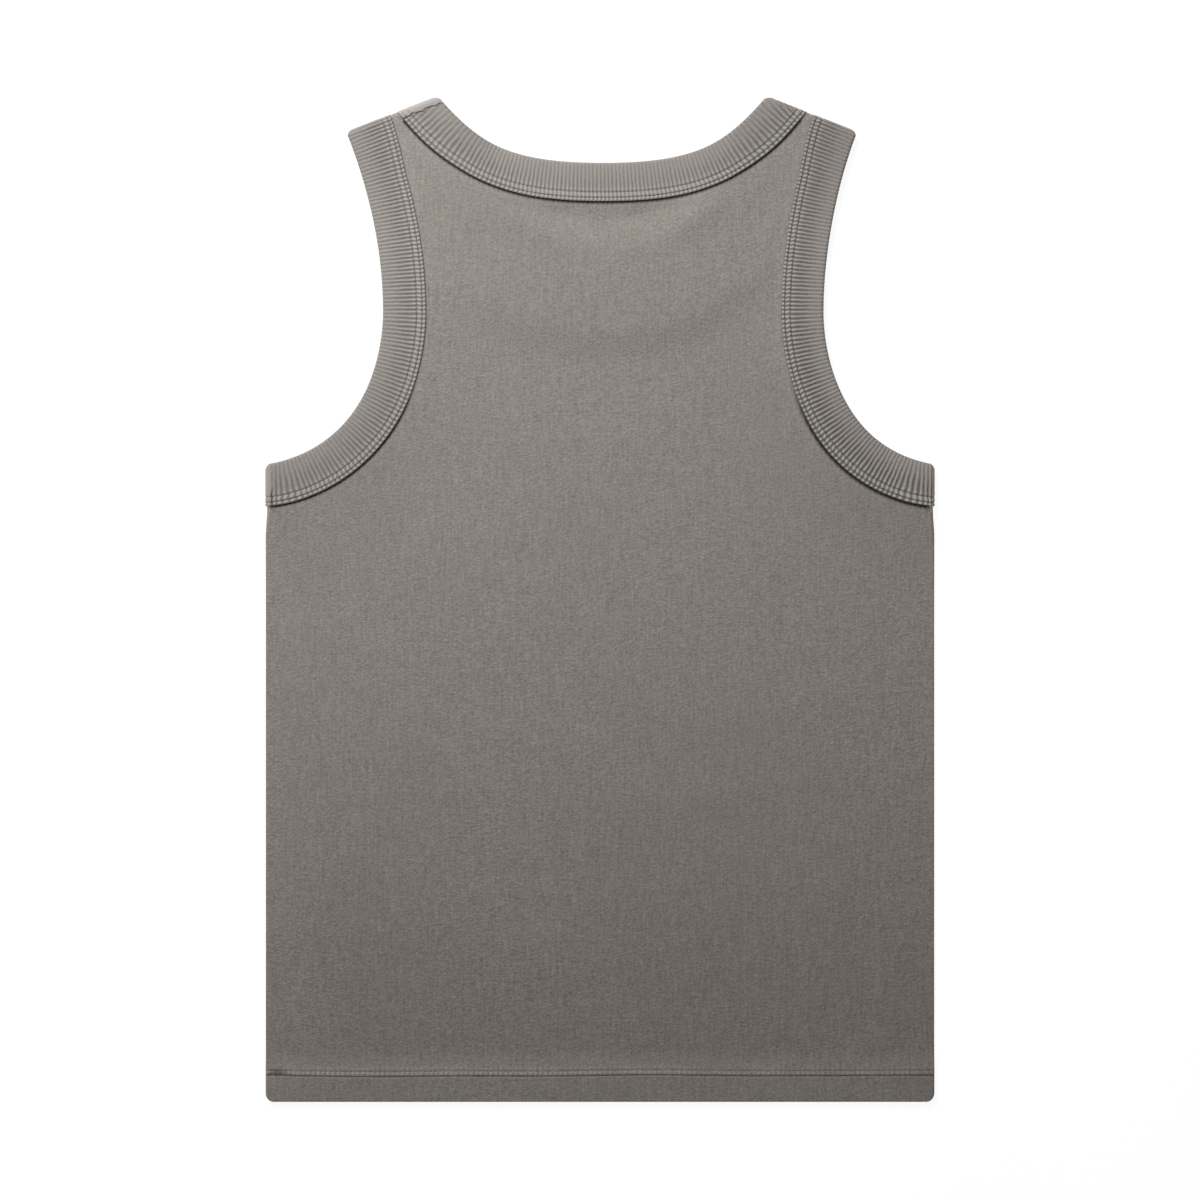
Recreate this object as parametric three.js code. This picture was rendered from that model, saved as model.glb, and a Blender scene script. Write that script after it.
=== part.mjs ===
// Rib-bound cotton tank top, laid flat on its front, so that the back faces up.
// Millimetres: X across the garment, Y from the hem to the shoulders, Z up from the table.
import * as THREE from 'three';

const { clamp, degToRad, lerp, smoothstep } = THREE.MathUtils;

// Cloth: the jersey wall, the clearance kept at every seam and the rib bands that bind the edges
const jersey = 1.0;
const seamGap = 0.3;
const bandHalf = 1.8;
const slotHalf = 0.85;
const slotDepth = 8.6;
const tuck = 7;
const ribPitch = 2.8;
const ribDepth = 0.35;
const clothHalf = jersey / 2;

// Outline of the garment laid flat
const halfChest = 250;
const hemY = -375;
const hemDepth = 20;
const hemCorner = 6.5;
const shoulderSlope = degToRad(21.5);
const shoulderLength = 74.3;
const shoulderTip = new THREE.Vector2(120.5, 373.6);
const backNeck = { middle: 326.9, flat: 71, steep: degToRad(48.5), reach: 42 };
const frontNeck = { middle: 246, flat: 78, reach: 66 };
const armhole = {
  tipReach: 19.1,
  slimX: 164.5,
  slimY: 214.6,
  above: 61.6,
  below: 25.8,
  underY: 101.9,
  underReach: 73.5,
  underSlope: degToRad(11.2),
};
const neckBand = { width: 29, atShoulder: 32.5 };
const armBand = { width: 32, atShoulder: 35, atSide: 32 };
const fanLength = 45;
const cornerRound = 2.5;

// The upper part of the garment lies a little to the right of the hem's middle, and less so at the shoulders
const lean = { most: 3.2, fromY: 60, toY: 160, easing: 0.42, easeFrom: 250, easeTo: 370 };

// Section of a band: a rounded nose at the free edge, then two arms that hold the edge of the jersey
const nose = 2.0;
const lip = 0.5;
const forkLength = 11;
const slabEase = 3;
const slabInner = 1.2;
const bandSection = [
  { from: 'free', at: 0, level: 0 },
  { from: 'free', at: nose, level: bandHalf, ribbed: true },
  { from: 'seam', at: lip, level: bandHalf, ribbed: true },
  { from: 'seam', at: 0, level: (bandHalf + slotHalf) / 2 },
  { from: 'seam', at: lip / 2, level: slotHalf },
  { from: 'seam', at: slotDepth, level: slotHalf },
  { from: 'seam', at: slotDepth, level: -slotHalf },
  { from: 'seam', at: lip / 2, level: -slotHalf },
  { from: 'seam', at: lip, level: -bandHalf },
  { from: 'seam', at: forkLength, level: -bandHalf },
  { from: 'seam', at: forkLength + slabEase, level: -slabInner },
  { from: 'free', at: nose, level: -slabInner },
];

// Stations of a band: two a rib on the back, a main one every third rib, wide apart on the flat underside
const ribsBetweenMain = 3;
const plainSpacing = 13;
const foldSteps = 8;

// Rows of the panels from the hem up: height above it, share of the turned hem's wall, and the rounded edge
const hemRows = [
  { above: 0, turned: 0.3, rounded: true },
  { above: 0.9, turned: 1 },
  { above: 2.8, turned: 1 },
  { above: hemCorner, turned: 1 },
  { above: hemDepth - 0.6, turned: 1 },
  { above: hemDepth + 0.6, turned: 0 },
  { above: hemDepth + 8, turned: 0 },
  { above: hemDepth + 17, turned: 0 },
];

// Rows above the hem: a number up to the underarm, then heights on the centre line, then a number at the neck
const backRows = {
  columns: 13,
  body: 4,
  centre: [-40, 5, 55, 105, 148, 172, 194, 216, 238, 259, 279],
  neck: 17,
};
const frontRows = {
  columns: 8,
  body: 4,
  centre: [-40, -5, 30, 65, 98, 130, 160, 185, 205],
  neck: 11,
};
const cornerStep = 2;
const armShareAtNeck = 0.6;
const turns = [0, Math.PI / 4, Math.PI / 2];
const centreSnap = 0.05;

// How far the cloth takes to step from one level to the next beside the bands and the hem
const armRamp = 24;
const neckRamp = 30;
const neckMargin = 12;
const bandRamp = 12;
const lowRamp = 6;
const hemRamp = 16;

// Levels of the middle of the cloth above the table
const foldRadius = bandHalf + seamGap / 2;
const bandLow = bandHalf;
const bandHigh = 3 * bandHalf + seamGap;
const foldLevel = (bandLow + bandHigh) / 2;
const frontLevel = clothHalf;
const backLevel = frontLevel + jersey + seamGap;
const sunkLevel = frontLevel + seamGap;
const sunkBandLevel = bandHalf + seamGap;
const ridgeLevel = 2 * bandHalf + 1.3 * seamGap + clothHalf;

const up = new THREE.Vector3(0, 0, 1);
const down = new THREE.Vector3(0, 0, -1);

// The lines over which the back turns to the front: both shoulders, and both sides under the arms
const shoulderFold = {
  along: new THREE.Vector2(Math.cos(shoulderSlope), -Math.sin(shoulderSlope)),
  beyond: new THREE.Vector2(Math.sin(shoulderSlope), Math.cos(shoulderSlope)),
};
const sideFold = {
  along: new THREE.Vector2(0, -1),
  beyond: new THREE.Vector2(1, 0),
};
const armTip = shoulderTip.clone().addScaledVector(shoulderFold.along, shoulderLength);
const underTip = new THREE.Vector2(halfChest - foldRadius - bandHalf, armhole.underY);
const underSeamY = armhole.underY - armBand.atSide;
const underHeading = new THREE.Vector2(Math.cos(armhole.underSlope), -Math.sin(armhole.underSlope));

// The neck edge crosses the shoulder at a slant, so it drifts along the fold as it turns over
const backNeckHeading = new THREE.Vector2(Math.cos(backNeck.steep), Math.sin(backNeck.steep));
const neckDrift = backNeckHeading.dot(shoulderFold.along) / backNeckHeading.dot(shoulderFold.beyond);
const frontNeckTip = shoulderTip.clone()
  .addScaledVector(shoulderFold.along, neckDrift * foldRadius * Math.PI);
const frontNeckHeading = shoulderFold.beyond.clone()
  .addScaledVector(shoulderFold.along, -neckDrift)
  .normalize();

function bezier(start, startHandle, endHandle, end) {
  return new THREE.CubicBezierCurve(start, startHandle, endHandle, end);
}

function spot(x, y) {
  return new THREE.Vector2(x, y);
}

// Free edges of the right half, each run so that the body of the garment is on its right-hand side
const backNeckEdge = {
  curve: bezier(
    spot(0, backNeck.middle),
    spot(backNeck.flat, backNeck.middle),
    shoulderTip.clone().addScaledVector(backNeckHeading, -backNeck.reach),
    shoulderTip,
  ),
  width: neckBand.width,
  folds: [{ share: 1, into: shoulderFold.along, width: neckBand.atShoulder }],
};
const frontNeckEdge = {
  curve: bezier(
    spot(0, frontNeck.middle),
    spot(frontNeck.flat, frontNeck.middle),
    frontNeckTip.clone().addScaledVector(frontNeckHeading, -frontNeck.reach),
    frontNeckTip,
  ),
  width: neckBand.width,
  folds: [{ share: 1, into: shoulderFold.along, width: neckBand.atShoulder }],
};
const armholeCurve = new THREE.CurvePath();
armholeCurve.add(bezier(
  armTip,
  armTip.clone().addScaledVector(shoulderFold.beyond, -armhole.tipReach),
  spot(armhole.slimX, armhole.slimY + armhole.above),
  spot(armhole.slimX, armhole.slimY),
));
armholeCurve.add(bezier(
  spot(armhole.slimX, armhole.slimY),
  spot(armhole.slimX, armhole.slimY - armhole.below),
  underTip.clone().sub(underHeading.clone().multiplyScalar(armhole.underReach)),
  underTip,
));
const armholeEdge = {
  curve: armholeCurve,
  width: armBand.width,
  folds: [
    { share: 0, into: shoulderFold.along.clone().negate(), width: armBand.atShoulder },
    { share: 1, into: sideFold.along, width: armBand.atSide },
  ],
};

// One straight line across a band, from its free edge to its seam, at a share of the edge's length
function bandLine(edge, share) {
  const free = edge.curve.getPointAt(share);
  const tangent = edge.curve.getTangentAt(share);
  const square = spot(tangent.y, -tangent.x);
  const closest = edge.folds.reduce((best, fold) => (
    Math.abs(share - fold.share) < Math.abs(share - best.share) ? fold : best
  ));
  const away = Math.abs(share - closest.share) * edge.curve.getLength();
  const near = 1 - smoothstep(away, 0, fanLength);
  const into = square.clone().lerp(closest.into, near).normalize();
  const width = lerp(edge.width / into.dot(square), closest.width, near);
  return { free, seam: free.clone().addScaledVector(into, width) };
}

// Signed distance from a line of points, positive on the side of the garment's body
function distanceFrom(line, x, y) {
  let best = Infinity;
  let side = 1;
  for (let i = 1; i < line.length; i += 1) {
    const runX = line[i].x - line[i - 1].x;
    const runY = line[i].y - line[i - 1].y;
    const offX = x - line[i - 1].x;
    const offY = y - line[i - 1].y;
    const along = clamp((offX * runX + offY * runY) / (runX * runX + runY * runY), 0, 1);
    const gap = Math.hypot(offX - along * runX, offY - along * runY);
    if (gap < best) {
      best = gap;
      side = runX * offY - runY * offX > 0 ? -1 : 1;
    }
  }
  return best * side;
}

function linePoints(edge, key) {
  const count = 60;
  return Array.from({ length: count + 1 }, (_, i) => bandLine(edge, i / count)[key]);
}

const backNeckSeam = linePoints(backNeckEdge, 'seam');
const frontNeckFree = linePoints(frontNeckEdge, 'free');
const frontNeckSeam = linePoints(frontNeckEdge, 'seam');
const armholeSeam = linePoints(armholeEdge, 'seam');

function fall(distance, reach) {
  return 1 - smoothstep(distance, 0, reach);
}

function shoulderDistance(x, y) {
  return -spot(Math.abs(x), y).sub(shoulderTip).dot(shoulderFold.beyond);
}

// Level of the middle of the upper layer: it climbs over the front's bands and sinks inside its neck hole
function backHeight(x, y) {
  const across = Math.abs(x);
  const intoFront = distanceFrom(frontNeckFree, across, y);
  const belowBand = distanceFrom(backNeckSeam, across, y);
  const intoBody = distanceFrom(armholeSeam, across, y);
  const onFront = smoothstep(intoFront, 0, neckBand.width);
  let level = lerp(sunkLevel, backLevel, onFront);
  level = lerp(level, Math.max(level, sunkBandLevel), fall(belowBand, bandRamp));
  const offFrontBand = Math.max(-intoFront, intoFront - neckBand.width) - neckMargin;
  const ridge = lerp(ridgeLevel, bandHigh, fall(belowBand - bandRamp, neckRamp));
  level = lerp(level, Math.max(level, ridge), fall(offFrontBand, neckRamp));
  level = lerp(level, bandHigh, fall(intoBody, armRamp));
  const aboveHem = y - hemY - hemDepth - 1;
  return level + 2 * jersey * fall(aboveHem, hemRamp);
}

// Level of the middle of the lower layer, which lies on the table and rises only into the bands
function frontHeight(x, y) {
  const across = Math.abs(x);
  const neck = fall(distanceFrom(frontNeckSeam, across, y), lowRamp);
  const arm = fall(distanceFrom(armholeSeam, across, y), lowRamp);
  const shoulder = fall(shoulderDistance(x, y), lowRamp);
  return lerp(frontLevel, bandLow, 1 - (1 - neck) * (1 - arm) * (1 - shoulder));
}

const back = { height: backHeight, out: up };
const front = { height: frontHeight, out: down };
const backArm = { height: () => bandHigh, out: up };
const frontBand = { height: () => bandLow, out: down };

// A station is one line across a band in space: its foot at the free edge, its run and the way out
function layStation(edge, share, layer) {
  const { free, seam } = bandLine(edge, share);
  const foot = new THREE.Vector3(free.x, free.y, layer.height(free.x, free.y));
  const run = new THREE.Vector3(seam.x, seam.y, layer.height(seam.x, seam.y)).sub(foot);
  return { foot, width: run.length(), run: run.normalize(), out: layer.out, inset: 0 };
}

// The same where the band turns over a fold: the turn is 0 on the back and half a circle on the front
function foldStation(fold, start, into, width, turn, drift) {
  const out = new THREE.Vector3(
    fold.beyond.x * Math.sin(turn),
    fold.beyond.y * Math.sin(turn),
    Math.cos(turn),
  );
  const foot = new THREE.Vector3(start.x, start.y, foldLevel).addScaledVector(out, foldRadius);
  foot.x += fold.along.x * drift * foldRadius * turn;
  foot.y += fold.along.y * drift * foldRadius * turn;
  const run = new THREE.Vector3(into.x, into.y, 0);
  return { foot, width, run, out, inset: cornerRound * Math.sin(turn) ** 2 };
}

function mirrored(station) {
  const copy = { ...station };
  for (const key of ['foot', 'run', 'out']) {
    copy[key] = station[key].clone();
    copy[key].x *= -1;
  }
  return copy;
}

// Ribbed stretch on the back: crests and valleys by turns
function ribbedStretch(edge, layer, fromShare, toShare) {
  const ribs = Math.round(edge.curve.getLength() / ribPitch / ribsBetweenMain) * ribsBetweenMain;
  const steps = 2 * ribs;
  return Array.from({ length: steps + 1 }, (_, i) => ({
    ...layStation(edge, lerp(fromShare, toShare, i / steps), layer),
    valley: i % 2 === 1,
    main: i % (2 * ribsBetweenMain) === 0,
  }));
}

// Plain stretch on the underside, which rests flat
function plainStretch(edge, fromShare, toShare) {
  const steps = Math.round(edge.curve.getLength() / plainSpacing);
  return Array.from({ length: steps + 1 }, (_, i) => ({
    ...layStation(edge, lerp(fromShare, toShare, i / steps), frontBand),
    valley: false,
    main: true,
  }));
}

// Stations between the two ends of a fold, from the back to the front
function foldStretch(fold, start, into, width, drift, ribbed) {
  return Array.from({ length: foldSteps - 1 }, (_, i) => ({
    ...foldStation(fold, start, into, width, Math.PI * (i + 1) / foldSteps, drift),
    valley: ribbed && i % 2 === 0,
    main: i % 2 === 1,
  }));
}

function sectionPoint(station, corner) {
  const across = corner.from === 'free' ? station.inset + corner.at : station.width - corner.at;
  const level = corner.ribbed && station.valley ? corner.level - ribDepth : corner.level;
  return station.foot.clone().addScaledVector(station.run, across).addScaledVector(station.out, level);
}

// Gathers corners and faces of a closed solid, and turns its faces outwards at the end
class Solid {
  constructor() {
    this.points = [];
    this.faces = [];
  }

  add(point) {
    const rising = smoothstep(point.y, lean.fromY, lean.toY);
    const easing = 1 - lean.easing * smoothstep(point.y, lean.easeFrom, lean.easeTo);
    const inside = Math.sqrt(Math.max(0, 1 - (point.x / halfChest) ** 2));
    const aside = lean.most * rising * easing * inside;
    this.points.push(new THREE.Vector3(point.x + aside, point.y, point.z));
    return this.points.length - 1;
  }

  face(a, b, c) {
    this.faces.push([a, b, c]);
  }

  // Fills the strip between two runs of corners that may have different counts
  strip(first, second) {
    let i = 0;
    let j = 0;
    while (i < first.length - 1 || j < second.length - 1) {
      const firstNext = (i + 0.5) / (first.length - 1);
      const secondNext = (j + 0.5) / (second.length - 1);
      if (j === second.length - 1 || (i < first.length - 1 && firstNext <= secondNext)) {
        this.face(first[i], first[i + 1], second[j]);
        i += 1;
      } else {
        this.face(first[i], second[j + 1], second[j]);
        j += 1;
      }
    }
  }

  geometry() {
    const volume = this.faces.reduce((sum, [a, b, c]) => {
      const normal = new THREE.Vector3().crossVectors(this.points[b], this.points[c]);
      return sum + this.points[a].dot(normal);
    }, 0);
    const index = this.faces.flatMap(([a, b, c]) => (volume > 0 ? [a, b, c] : [a, c, b]));
    const geometry = new THREE.BufferGeometry().setFromPoints(this.points);
    geometry.setIndex(index);
    geometry.computeVertexNormals();
    return geometry;
  }
}

// A band is swept round its loop: ribbed corners have a point at each station, plain ones at the main ones
function bandSolid(stations) {
  const solid = new Solid();
  const mains = stations.flatMap((station, i) => (station.main ? [i] : []));
  const chains = bandSection.map((corner) => stations.map((station) => (
    corner.ribbed || station.main ? solid.add(sectionPoint(station, corner)) : null
  )));
  const between = (chain, from, to) => {
    const last = to > from ? to : to + stations.length;
    const marks = [];
    for (let i = from; i <= last; i += 1) {
      const mark = chain[i % stations.length];
      if (mark !== null) marks.push(mark);
    }
    return marks;
  };
  chains.forEach((chain, c) => {
    const next = chains[(c + 1) % chains.length];
    mains.forEach((from, m) => {
      const to = mains[(m + 1) % mains.length];
      solid.strip(between(chain, from, to), between(next, from, to));
    });
  });
  return solid.geometry();
}

// Right armband: down the back of the armhole, round the side, up the front and over the shoulder
function armbandStations() {
  const atShoulder = shoulderFold.along.clone().negate();
  const side = foldStretch(sideFold, underTip, sideFold.along, armBand.atSide, 0, true);
  const shoulder = foldStretch(shoulderFold, armTip, atShoulder, armBand.atShoulder, 0, true);
  return [
    ...ribbedStretch(armholeEdge, backArm, 0, 1),
    ...side,
    ...plainStretch(armholeEdge, 1, 0),
    ...shoulder.reverse(),
  ];
}

// Neckband: one half is worked out on the right and mirrored, and the left shoulder's turn is plain
function neckbandStations() {
  const half = (ribbedFold) => [
    ...ribbedStretch(backNeckEdge, back, 0, 1),
    ...foldStretch(shoulderFold, shoulderTip, shoulderFold.along, neckBand.atShoulder, neckDrift, ribbedFold),
    ...plainStretch(frontNeckEdge, 1, 0),
  ];
  const left = half(false).map(mirrored).reverse();
  return [...half(true), ...left.slice(1, -1)];
}

// A spot of jersey has its middle, the way out of the cloth and the distances of its two faces
function settle(foot, layer, inner = -clothHalf) {
  return { foot, out: layer.out, outer: clothHalf, inner };
}

function flatSpot(layer, point, inner) {
  return settle(new THREE.Vector3(point.x, point.y, layer.height(point.x, point.y)), layer, inner);
}

// A spot where the jersey turns from the back to the front, kept short of the other panel by half a seam gap
function turnedSpot(layer, axis, beyond, middle, radius, turn, inner = -clothHalf) {
  const sign = layer.out.z;
  const point = (face) => {
    const rise = Math.max((radius + face) * Math.cos(turn), seamGap / 2);
    const reach = (radius + face) * Math.sin(turn);
    return new THREE.Vector3(axis.x + beyond.x * reach, axis.y + beyond.y * reach, middle + sign * rise);
  };
  return { outerPoint: point(clothHalf), innerPoint: point(inner) };
}

// Outer edge of the side seam: drawn in under the armband and round at the hem's corners
function sideEdge(y) {
  const underArm = (bandHalf - clothHalf) * fall(underSeamY - y, armRamp);
  const fromHem = Math.min(y - hemY, hemCorner);
  const corner = hemCorner - Math.sqrt(hemCorner ** 2 - (hemCorner - fromHem) ** 2);
  return halfChest - underArm - corner;
}

function bandSpots(layer, edge, share) {
  const station = layStation(edge, share, layer);
  const seam = station.foot.clone().addScaledVector(station.run, station.width);
  const cut = station.foot.clone().addScaledVector(station.run, station.width - tuck);
  return { seam: settle(seam, layer), cut: settle(cut, layer) };
}

function interior(layer, from, to, columns, neckGrading, inner) {
  const spots = [];
  for (let c = 1; c < columns; c += 1) {
    const share = c / columns;
    const towardsSide = 1 - (1 - share) ** 2;
    const bothEnds = (1 - Math.cos(Math.PI * share)) / 2;
    const point = from.clone().lerp(to, lerp(towardsSide, bothEnds, neckGrading));
    spots.push(flatSpot(layer, point, inner));
  }
  return spots;
}

function sideRow(layer, columns, sideY, centreY, turned, rounded) {
  const inner = -clothHalf - jersey * turned;
  const radius = (backHeight(halfChest, sideY) - frontHeight(halfChest, sideY)) / 2;
  const middle = (backHeight(halfChest, sideY) + frontHeight(halfChest, sideY)) / 2;
  const axis = spot(sideEdge(sideY) - radius - clothHalf, sideY);
  const centre = spot(0, centreY);
  const flat = [flatSpot(layer, centre, inner), ...interior(layer, centre, axis, columns, 0, inner)];
  if (rounded) {
    flat.forEach((each) => {
      each.outer = 0;
    });
  }
  const seam = turns.map((turn) => turnedSpot(layer, axis, sideFold.beyond, middle, radius, turn, inner));
  return { kind: 'side', start: 0, spots: [...flat, ...seam] };
}

function planOf(each) {
  return spot(each.foot.x, each.foot.y);
}

function centreRow(layer, columns, centreY, armShare) {
  const arm = bandSpots(layer, armholeEdge, 1 - armShare);
  const centre = spot(0, centreY);
  const grading = 0.5 * armShare / armShareAtNeck;
  const spots = interior(layer, centre, planOf(arm.seam), columns, grading);
  return { kind: 'arm', start: 0, spots: [flatSpot(layer, centre), ...spots, arm.seam, arm.cut] };
}

function neckRow(layer, neckEdge, columns, neckShare, armShare) {
  const arm = bandSpots(layer, armholeEdge, 1 - armShare);
  const neck = bandSpots(layer, neckEdge, neckShare);
  const grading = lerp(0.5, 1, smoothstep(neckShare, 0, 0.3));
  const spots = interior(layer, planOf(neck.seam), planOf(arm.seam), columns, grading);
  return { kind: 'arm', start: -1, spots: [neck.cut, neck.seam, ...spots, arm.seam, arm.cut] };
}

// Rows in which the jersey turns over the shoulder between the two bands
function shoulderRow(layer, columns, turn) {
  const sheetTurn = layer === back ? turn : Math.PI - turn;
  const neckSeam = neckDrift * foldRadius * sheetTurn + neckBand.atShoulder;
  const armSeam = shoulderLength - armBand.atShoulder;
  const places = [neckSeam - tuck, neckSeam];
  for (let c = 1; c < columns; c += 1) {
    places.push(lerp(neckSeam, armSeam, (1 - Math.cos(Math.PI * c / columns)) / 2));
  }
  places.push(armSeam, armSeam + tuck);
  const spots = places.map((place) => {
    const axis = shoulderTip.clone().addScaledVector(shoulderFold.along, place);
    return turnedSpot(layer, axis, shoulderFold.beyond, foldLevel, foldRadius, turn);
  });
  return { kind: 'arm', start: -1, spots };
}

function panelRows(layer, neckEdge, { columns, body, centre, neck }) {
  const bodyStart = hemRows[hemRows.length - 1].above + hemY;
  const rows = hemRows.map(({ above, turned, rounded }) => (
    sideRow(layer, columns, hemY + above, hemY + above, turned, rounded)
  ));
  for (let r = 1; r <= body; r += 1) {
    const sideY = lerp(bodyStart, underSeamY - seamGap, r / body);
    const centreY = lerp(bodyStart, centre[0] - cornerStep, r / body);
    rows.push(sideRow(layer, columns, sideY, centreY, 0));
  }
  centre.forEach((centreY, r) => {
    rows.push(centreRow(layer, columns, centreY, armShareAtNeck * r / centre.length));
  });
  for (let r = 0; r <= neck; r += 1) {
    const share = r / neck;
    rows.push(neckRow(layer, neckEdge, columns, share, lerp(armShareAtNeck, 1, share)));
  }
  turns.slice(1).forEach((turn) => rows.push(shoulderRow(layer, columns, turn)));
  return rows;
}

// A panel is two faces of the same rows, mirrored about the centre line, with walls round the cut edges
function panelSolid(layer, neckEdge, layout) {
  const solid = new Solid();
  const sheets = [[], []];
  const place = (each, face) => {
    if (each.outerPoint) return face === 0 ? each.outerPoint.clone() : each.innerPoint.clone();
    const point = each.foot.clone().addScaledVector(each.out, face === 0 ? each.outer : each.inner);
    return Math.abs(point.x) < centreSnap ? point.setX(0) : point;
  };
  const rows = panelRows(layer, neckEdge, layout);
  for (const face of [0, 1]) {
    for (const side of [1, -1]) {
      sheets[face].push(rows.map((row, r) => row.spots.map((each, c) => {
        const point = place(each, face);
        if (side < 0 && point.x === 0) return sheets[face][0][r][c];
        return solid.add(point.setX(point.x * side));
      })));
    }
  }
  const quads = [];
  for (const side of [0, 1]) {
    for (let r = 0; r + 1 < rows.length; r += 1) {
      const low = rows[r];
      const high = rows[r + 1];
      const start = Math.max(low.start, high.start);
      const lowEnd = low.start + low.spots.length - 1;
      const highEnd = high.start + high.spots.length - 1;
      const end = low.kind === high.kind ? Math.min(lowEnd, highEnd) : layout.columns;
      for (let c = start; c < end; c += 1) {
        const corner = (row, index, column) => [side, index, column - row.start];
        const quad = [
          corner(low, r, c),
          corner(low, r, c + 1),
          corner(high, r + 1, c + 1),
          corner(high, r + 1, c),
        ];
        quads.push(side === 0 ? quad : quad.reverse());
      }
    }
  }
  const edges = new Map();
  quads.forEach((quad) => {
    const [outer, inner] = sheets.map((sheet) => quad.map(([side, r, c]) => sheet[side][r][c]));
    solid.face(outer[0], outer[1], outer[2]);
    solid.face(outer[0], outer[2], outer[3]);
    solid.face(inner[0], inner[2], inner[1]);
    solid.face(inner[0], inner[3], inner[2]);
    outer.forEach((from, i) => {
      const next = (i + 1) % outer.length;
      const backwards = `${outer[next]} ${from}`;
      if (edges.has(backwards)) edges.delete(backwards);
      else edges.set(`${from} ${outer[next]}`, [from, outer[next], inner[i], inner[next]]);
    });
  });
  edges.forEach(([outerFrom, outerTo, innerFrom, innerTo]) => {
    solid.face(outerFrom, innerFrom, innerTo);
    solid.face(outerFrom, innerTo, outerTo);
  });
  return solid.geometry();
}

const jerseyCloth = new THREE.MeshStandardMaterial({ color: 0x89837e, roughness: 0.95, metalness: 0 });
const ribCloth = new THREE.MeshStandardMaterial({ color: 0x8d8782, roughness: 0.95, metalness: 0 });

function piece(name, geometry, material) {
  const mesh = new THREE.Mesh(geometry, material);
  mesh.name = name;
  return mesh;
}

const rightArmband = armbandStations();
const leftArmband = rightArmband.map(mirrored).reverse();

const group = new THREE.Group();
group.add(
  piece('front_panel', panelSolid(front, frontNeckEdge, frontRows), jerseyCloth),
  piece('back_panel', panelSolid(back, backNeckEdge, backRows), jerseyCloth),
  piece('neckband', bandSolid(neckbandStations()), ribCloth),
  piece('armband_left', bandSolid(leftArmband), ribCloth),
  piece('armband_right', bandSolid(rightArmband), ribCloth),
);

export default group;
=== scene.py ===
import math

import bmesh
import bpy
import numpy as np
from bpy.props import FloatProperty, FloatVectorProperty, IntProperty, PointerProperty
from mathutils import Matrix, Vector


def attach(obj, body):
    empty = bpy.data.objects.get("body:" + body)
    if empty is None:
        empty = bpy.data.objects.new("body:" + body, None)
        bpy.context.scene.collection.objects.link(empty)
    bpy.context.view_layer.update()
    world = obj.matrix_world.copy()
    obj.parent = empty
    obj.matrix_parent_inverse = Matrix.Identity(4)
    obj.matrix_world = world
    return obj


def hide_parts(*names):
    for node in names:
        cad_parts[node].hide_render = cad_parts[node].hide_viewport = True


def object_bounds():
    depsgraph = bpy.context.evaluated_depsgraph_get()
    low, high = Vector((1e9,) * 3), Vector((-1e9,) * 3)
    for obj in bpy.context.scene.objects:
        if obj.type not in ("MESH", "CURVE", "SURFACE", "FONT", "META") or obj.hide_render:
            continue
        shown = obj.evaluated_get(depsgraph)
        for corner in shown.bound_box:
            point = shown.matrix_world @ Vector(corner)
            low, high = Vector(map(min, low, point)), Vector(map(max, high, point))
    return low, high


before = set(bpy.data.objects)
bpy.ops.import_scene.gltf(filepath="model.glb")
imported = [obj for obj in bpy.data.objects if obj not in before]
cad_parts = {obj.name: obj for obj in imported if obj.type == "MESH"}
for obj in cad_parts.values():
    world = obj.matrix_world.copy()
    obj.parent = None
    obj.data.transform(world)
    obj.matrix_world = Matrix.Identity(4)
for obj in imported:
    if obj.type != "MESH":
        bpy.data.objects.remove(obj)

bl_info = {
    "name": "Rib-Bound Tank Top",
    "version": (1, 0, 0),
    "blender": (4, 5, 0),
    "location": "3D View > Sidebar > Tank Top",
    "description": "Models a washed cotton tank top laid flat, with its rib bands, hem, stitches and finish",
    "category": "Add Mesh",
}

MM = 0.001
CAD_LOW, CAD_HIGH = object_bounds()

# Cloth walls and levels, as the solids hold them
JERSEY = 1.0 * MM
JERSEY_SHOWN = 0.9 * MM
SEAM_GAP = 0.3 * MM
BAND_HALF = 1.8 * MM
SLOT_HALF = 0.85 * MM
SLAB_INNER = 1.2 * MM
TUCK = 7.0 * MM
FOLD_RADIUS = BAND_HALF + SEAM_GAP / 2
BAND_LOW = BAND_HALF
BAND_HIGH = 3 * BAND_HALF + SEAM_GAP
FOLD_LEVEL = (BAND_LOW + BAND_HIGH) / 2
FRONT_LEVEL = JERSEY / 2
BACK_LEVEL = FRONT_LEVEL + JERSEY + SEAM_GAP
SUNK_LEVEL = FRONT_LEVEL + SEAM_GAP
SUNK_BAND_LEVEL = BAND_HALF + SEAM_GAP
RIDGE_LEVEL = 2 * BAND_HALF + 1.3 * SEAM_GAP + JERSEY / 2

# How far the cloth takes to step from one level to the next
ARM_RAMP = 24 * MM
ARM_DRAPE = 75 * MM
NECK_RAMP = 30 * MM
NECK_MARGIN = 12 * MM
BAND_RAMP = 12 * MM
LOW_RAMP = 6 * MM
HEM_RAMP = 16 * MM

# Rows of twin-needle stitching, measured from a band's seam edge and up from the hem's fold
BAND_STITCH_ROWS = (2.7 * MM, 6.9 * MM)
HEM_STITCH_ROWS = (19.4 * MM, 23.4 * MM)

# Length, radius and spacing of the stitches, how deep they lie in a band and how proud of the hem
HEM_STITCH_SPACING = 3.7 * MM
BAND_STITCH = (2.2 * MM, 0.17 * MM, 2.8 * MM)
HEM_STITCH = (2.9 * MM, 0.16 * MM, HEM_STITCH_SPACING)
STITCH_SUNK = 0.58 * MM
STITCH_PROUD = 0.02 * MM

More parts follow.
